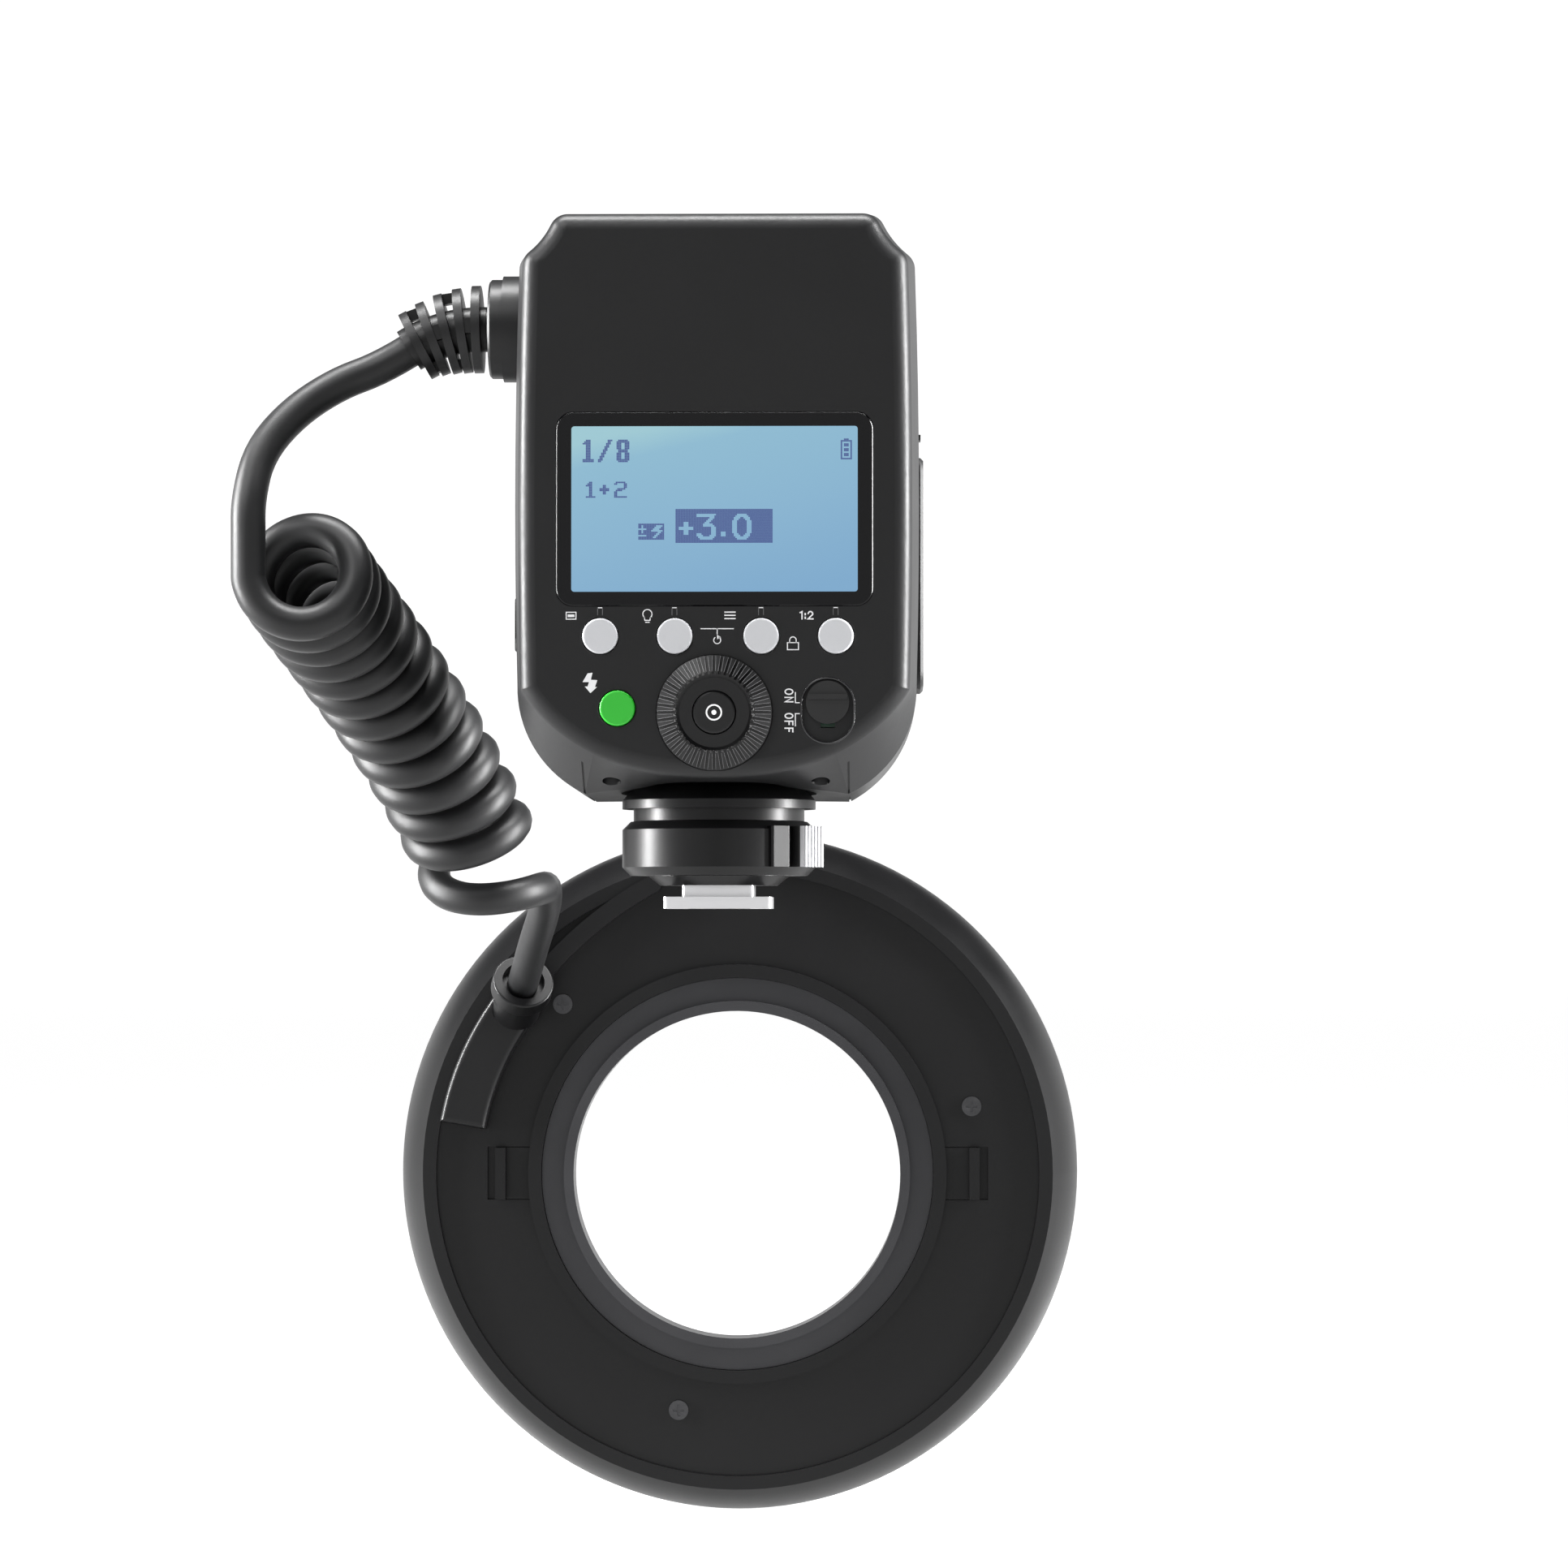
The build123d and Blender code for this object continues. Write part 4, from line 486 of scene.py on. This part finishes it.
VALUE = {
    "+": "........ ........ ........ ........ ...###.. ...###.. ...###.. ######### ######### "
         "...###.. ...###.. ...###..",
    "3": "############ ###########. ........###. .......###.. ......###... .....###.... "
         "....######.. ....#######. .........### .........### .........### .........### "
         "###......### ####....#### .##########. ..########..",
    ".": ".... " * 13 + ".### .### .###",
    "0": "...######... ..########.. .####..####. .###....###. ###......### ###......### "
         "###......### ###......### ###......### ###......### ###......### ###......### "
         ".###....###. .####..####. ..########.. ...######...",
}
BATTERY = ("..###.. ####### #.....# #.###.# #.###.# #.....# #.###.# #.###.# #.....# #.###.# "
           "#.###.# #.....# #######")
PLUS_MINUS = ("................ ..#........####. ..#.......####.. #####....####... "
              "..#.....#######. ..#.........##.. ...........##... #####.....##.... "
              ".........##..... ................")
PITCH = 2.0
DOT_SHARE = 0.93


def dots(rows, left, top):
    """Places of the set dots of a character, from its left top corner in photograph pixels"""
    return {(left + column * PITCH, top + row * PITCH)
            for row, bits in enumerate(rows.split())
            for column, bit in enumerate(bits) if bit == "#"}


def spelled(characters, *places):
    """Dots of several characters, each with its left top corner"""
    return set().union(*(dots(characters[key], left, top) for key, left, top in places))


def block(columns, rows, left, top):
    """A field of set dots, for characters that are left pale in it"""
    return dots(" ".join(["#" * columns] * rows), left, top)


def dot_squares(places, y):
    """A square for each dot, with a fine gap round it"""
    squares = []
    for px, py in sorted(places):
        x0, z0 = to_mm(px, py, y)
        x1, z1 = to_mm(px + PITCH * DOT_SHARE, py + PITCH * DOT_SHARE, y)
        squares.append([(x0, z1), (x1, z1), (x1, z0), (x0, z0)])
    return squares


dark = spelled(BIG, ("1", 713, 540), ("/", 732, 540), ("8", 757, 540))
dark |= spelled(SMALL, ("1", 721, 592), ("+", 738, 592), ("2", 756, 592))
dark |= dots(BATTERY, 1036, 539)
value = spelled(VALUE, ("+", 836, 634), ("3", 858, 632), (".", 886, 628), ("0", 902, 632))
dark |= block(60, 21, 832, 626) - value
dark |= block(16, 10, 786, 644) - dots(PLUS_MINUS, 786, 644)
sheet("display_dots", pixel_blue, dot_squares(dark, WINDOW_Y), WINDOW_Y - PANEL_RISE,
      DOT_RISE)


# Printed marks on the rear cover, drawn in photograph pixels with line widths in mm
def at(px, py):
    """Where a pixel of the photograph lies on the rear cover"""
    return to_mm(px, py, REAR)


def line(width, *points):
    """A printed line through pixels of the photograph"""
    return stroke([at(*point) for point in points], width)


def filled(*points):
    """A filled outline through pixels of the photograph"""
    return [[at(*point) for point in points]]


def arc_px(cx, cy, radius, start, sweep, steps=20):
    """An arc in pixels, whose y runs down; its angles still turn to the left"""
    return circle(cx, cy, radius, -start, -sweep, steps)


THIN, BAR, ROW, SMALL_DIGIT, COLON, LEAD = 0.16, 0.45, 0.20, 0.22, 0.24, 0.12
# Flash sign at the test key, lamp, lock, and the bracket between the two middle keys
marks = filled((723.5, 829), (729.5, 828.3), (727.5, 837), (735.5, 837.5), (732.5, 846),
               (735.3, 845.8), (727, 853.5), (719.8, 845), (723.5, 845.3), (725.2, 839.8),
               (717.3, 839.8))
marks += line(THIN, *arc_px(797.3, 755.8, 5.6, -50, 280))
marks += line(THIN, (793.6, 760), (794.2, 763.6), (800.4, 763.6), (801, 760))
marks += line(THIN, (795.2, 766), (799.4, 766))
marks += line(THIN, (970.2, 791.3), (983.8, 791.3), (983.8, 800), (970.2, 800), (970.2, 791.3))
marks += line(THIN, (973, 791.3), *arc_px(977, 788.2, 4, 180, -180, 12), (981, 791.3))
marks += line(THIN, (863.5, 774), (903.5, 774)) + line(THIN, (883.5, 774), (883.5, 780.5))
# Signs of the keys: a frame, three bars, a ratio and a turning arrow
marks += line(THIN, (697, 753.5), (709, 753.5), (709, 762), (697, 762), (697, 753.5))
marks += line(BAR, (700.5, 757.8), (705.5, 757.8))
for py in (753.5, 757.5, 761.5):
    marks += line(ROW, (893, py), (905.5, py))
marks += line(SMALL_DIGIT, (986, 754.2), (988.2, 753), (988.2, 762))
marks += line(COLON, (992.2, 755.6), (992.2, 756.8)) + line(COLON, (992.2, 760), (992.2, 761.2))
marks += line(SMALL_DIGIT, *arc_px(998.6, 755.8, 2.8, 170, -190, 10), (995.6, 762), (1001.8, 762))
marks += line(THIN, *arc_px(883.5, 788.2, 4.3, 60, -290))
marks += filled((883.2, 781.6), (888.2, 784.4), (883.4, 787))
# Fine lead lines from the display down to its keys, each pair with a bright cap
leads = []
CAP_REACH, CAP_PY = 2.4, 748.0
LEAD_REACH, LEAD_TOP_PY, LEAD_END_PY = 3.0, 747.6, 756.8
for px in (738.8, 830.7, 937.6, 1029.7):
    marks += line(THIN, (px - CAP_REACH, CAP_PY), (px + CAP_REACH, CAP_PY))
    for side in (-LEAD_REACH, LEAD_REACH):
        leads += line(LEAD, (px + side, LEAD_TOP_PY), (px + side, LEAD_END_PY))
# The switch's ON and OFF, turned a quarter, with a corner line for each
LETTERS = {
    "O": [circle(0, 0, 0.5, 90, 360, 16)],
    "N": [[(-0.42, -0.5), (-0.42, 0.5), (0.42, -0.5), (0.42, 0.5)]],
    "F": [[(-0.36, -0.5), (-0.36, 0.5), (0.4, 0.5)], [(-0.10, 0.02), (0.3, 0.02)]],
}
LETTER_LINE = 0.22


def turned_word(word, px, py, width, height, pitch):
    """Letters that read from above to below, tops to the right; the last three are in mm"""
    cx, cz = at(px, py)
    middle = (len(word) - 1) / 2
    out = []
    for index, letter in enumerate(word):
        for points in LETTERS[letter]:
            out += stroke([(cx + z * height, cz - x * width + (middle - index) * pitch)
                           for x, z in points], LETTER_LINE)
    return out


marks += turned_word("ON", 972.1, 856.8, 0.88, 1.30, 1.34)
marks += turned_word("OFF", 972.1, 890.4, 0.80, 1.30, 1.18)
marks += line(THIN, (980, 853), (980, 865.5), (984.8, 865.5))
marks += line(THIN, (980, 894), (980, 879), (984.8, 879))
sheet("printed_marks", print_white, marks, REAR, PRINT_RISE)
sheet("lead_lines", lead_print_and_rib_highlight_grey, leads, REAR, PRINT_RISE)


# Rounded lip of the switch well. Its end radius stays just under half its width
def bead(name, material, outline, width, rise, y, points=7):
    """A closed half round bead along an outline of (x, z) in mm, standing on the plane Y = y"""
    made = bmesh.new()
    count = len(outline)
    rings = []
    for i, (x, z) in enumerate(outline):
        (ax, az), (bx, bz) = outline[i - 1], outline[(i + 1) % count]
        length = math.hypot(bx - ax, bz - az)
        nx, nz = (bz - az) / length, (ax - bx) / length
        ring = []
        for k in range(points):
            a = math.pi * k / (points - 1)
            off = width / 2 * math.cos(a)
            place = (x + nx * off, y - rise * math.sin(a), z + nz * off)
            ring.append(made.verts.new([n * MM for n in place]))
        rings.append(ring)
    for i in range(count):
        one, two = rings[i], rings[(i + 1) % count]
        for k in range(points):
            j = (k + 1) % points
            made.faces.new((one[k], one[j], two[j], two[k]))
    return dress(smooth(made_piece(name, made)), material)


LIP_WIDTH, LIP_RISE, LIP_ROUND, LIP_STEPS = 0.34, 0.12, 0.16, 14
well = rounded(SWITCH_X, SWITCH_Z, WELL_WIDTH + LIP_WIDTH, WELL_HEIGHT + LIP_WIDTH,
               WELL_WIDTH / 2 + LIP_ROUND, LIP_STEPS)
bead("switch_lip", lip_gloss, well, LIP_WIDTH, LIP_RISE, REAR)

# Painted highlights on the edges of the dial's ribs, on its slope: two thin light grey bars for
# each groove, in mm
RIB_ENDS = [(6.95, -27.9), (9.6, -26.65)]
RIB_SIDE, RIB_HALF, RIB_RISE, RIB_DEPTH = 0.29, 0.035, 0.035, 0.06
BAR_FACES = [(0, 2, 6, 4), (1, 5, 7, 3), (0, 4, 5, 1), (2, 3, 7, 6), (0, 1, 3, 2), (4, 6, 7, 5)]
verts, faces = [], []
for k in range(2 * DIAL_GROOVES):
    a = 2 * math.pi * (k // 2) / DIAL_GROOVES
    side = (k % 2 * 2 - 1) * RIB_SIDE
    first = len(verts)
    for radius, y in RIB_ENDS:
        for across in (-RIB_HALF, RIB_HALF):
            x = radius * math.cos(a) - (side + across) * math.sin(a)
            z = DIAL_Z + radius * math.sin(a) + (side + across) * math.cos(a)
            verts += [(x * MM, (y - RIB_RISE) * MM, z * MM), (x * MM, (y + RIB_DEPTH) * MM, z * MM)]
    faces += [[first + i for i in face] for face in BAR_FACES]
dress(mesh_piece("dial_rib_painted_highlights", verts, faces), lead_print_and_rib_highlight_grey, "dial")

# Mark on the centre key of the dial: a ring with a dot. The dot's outline stops short of its start
SET_RING, SET_RING_LINE, SET_RING_STEPS = 1.25, 0.26, 32
SET_DOT, SET_DOT_SWEEP, SET_DOT_STEPS = 0.42, 345, 20
set_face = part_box("set_key")[0][1] / MM
set_marks = stroke(circle(DIAL_X, DIAL_Z, SET_RING, steps=SET_RING_STEPS), SET_RING_LINE)
set_marks.append(circle(DIAL_X, DIAL_Z, SET_DOT, 0, SET_DOT_SWEEP, SET_DOT_STEPS))
sheet("set_mark", print_bright, set_marks, set_face, PRINT_RISE, "set_key")

# Painted shade: a black ring on the rear cover round each key, where the shade of its gap falls
ring_shades = []
for key_x, key_z in KEYS:
    inner = circle(key_x, key_z, KEY_SHADE_IN, steps=KEY_SHADE_STEPS)
    outer = circle(key_x, key_z, KEY_SHADE_OUT, steps=KEY_SHADE_STEPS)
    ring_shades += [[inner[k], inner[k + 1], outer[k + 1], outer[k]] for k in range(KEY_SHADE_STEPS)]
sheet("key_shade_rings", painted_gap_shade, ring_shades, REAR, SHADE_RISE)

# Render camera at the photograph's viewpoint, aimed through the middle of its frame
camera_data = bpy.data.cameras.new("camera")
camera_data.sensor_width = SENSOR
camera_data.lens = SENSOR * REAR_DISTANCE / REAR_SPAN
camera_data.clip_end = CLIP_END
camera = in_scene("camera", camera_data)
camera.location = [n * MM for n in VIEWPOINT]
turn_to(camera, [n * MM for n in AIM])
bpy.context.scene.camera = camera

# Pale round floor that curves up into a backdrop on every side, far from the object, in metres
FLOOR_Z, FLOOR_START, FLOOR_RADIUS, WALL_TOP = -0.119, 0.6, 12.0, 4.0
COVE, COVE_STEPS, SECTORS = 1.5, 12, 64
FLOOR_GLOW = 0.97
profile = [(FLOOR_START, FLOOR_Z), (FLOOR_RADIUS, FLOOR_Z)]
for k in range(1, COVE_STEPS + 1):
    a = math.radians(90 * k / COVE_STEPS)
    profile.append((FLOOR_RADIUS + COVE * math.sin(a), FLOOR_Z + COVE * (1 - math.cos(a))))
profile.append((FLOOR_RADIUS + COVE, WALL_TOP))
angles = [2 * math.pi * k / SECTORS for k in range(SECTORS)]
verts = [(radius * math.cos(a), radius * math.sin(a), z) for radius, z in profile for a in angles]
faces = [tuple(range(SECTORS))]
for row in range(len(profile) - 1):
    for k in range(SECTORS):
        first, after = row * SECTORS, (k + 1) % SECTORS
        faces.append((first + k, first + SECTORS + k, first + SECTORS + after, first + after))
floor = smooth(mesh_piece("floor", verts, faces))
floor_white, shader = plain("floor_white", (0.16, 0.16, 0.16), 0.8, Specular_IOR_Level=0.0,
                            Emission_Color=(1, 1, 1, 1), Emission_Strength=FLOOR_GLOW)
floor.data.materials.append(floor_white)

# Soft studio light: slim strips at both sides and above, in the plane Y = 0, and a soft front.
# Each has a place, a target and a size in metres, and a power in watts
WORLD_STRENGTH = 0.05
LIGHTS = {
    "left_strip": ((-0.74, 0.0, 0.12), (-0.02, 0, 0.05), (0.08, 0.9), 42),
    "right_strip": ((0.77, 0.0, 0.12), (0.02, 0, 0.05), (0.08, 0.9), 42),
    "top_soft": ((0.0, 0.0, 0.82), (0, 0, 0.08), (0.9, 0.08), 24),
    "front_soft": ((-0.5, -0.95, 1.0), (0, 0, 0.02), (0.7, 0.5), 10),
}
world = bpy.data.worlds.new("world")
world.use_nodes = True
background = world.node_tree.nodes["Background"]
background.inputs["Color"].default_value = (1, 1, 1, 1)
background.inputs["Strength"].default_value = WORLD_STRENGTH
bpy.context.scene.world = world
bpy.context.scene.view_settings.view_transform = "Standard"
for name, (place, target, size, power) in LIGHTS.items():
    data = bpy.data.lights.new(name, "AREA")
    data.shape = "RECTANGLE"
    data.size, data.size_y = size
    data.energy = power
    lamp = in_scene(name, data)
    lamp.location = place
    turn_to(lamp, target)
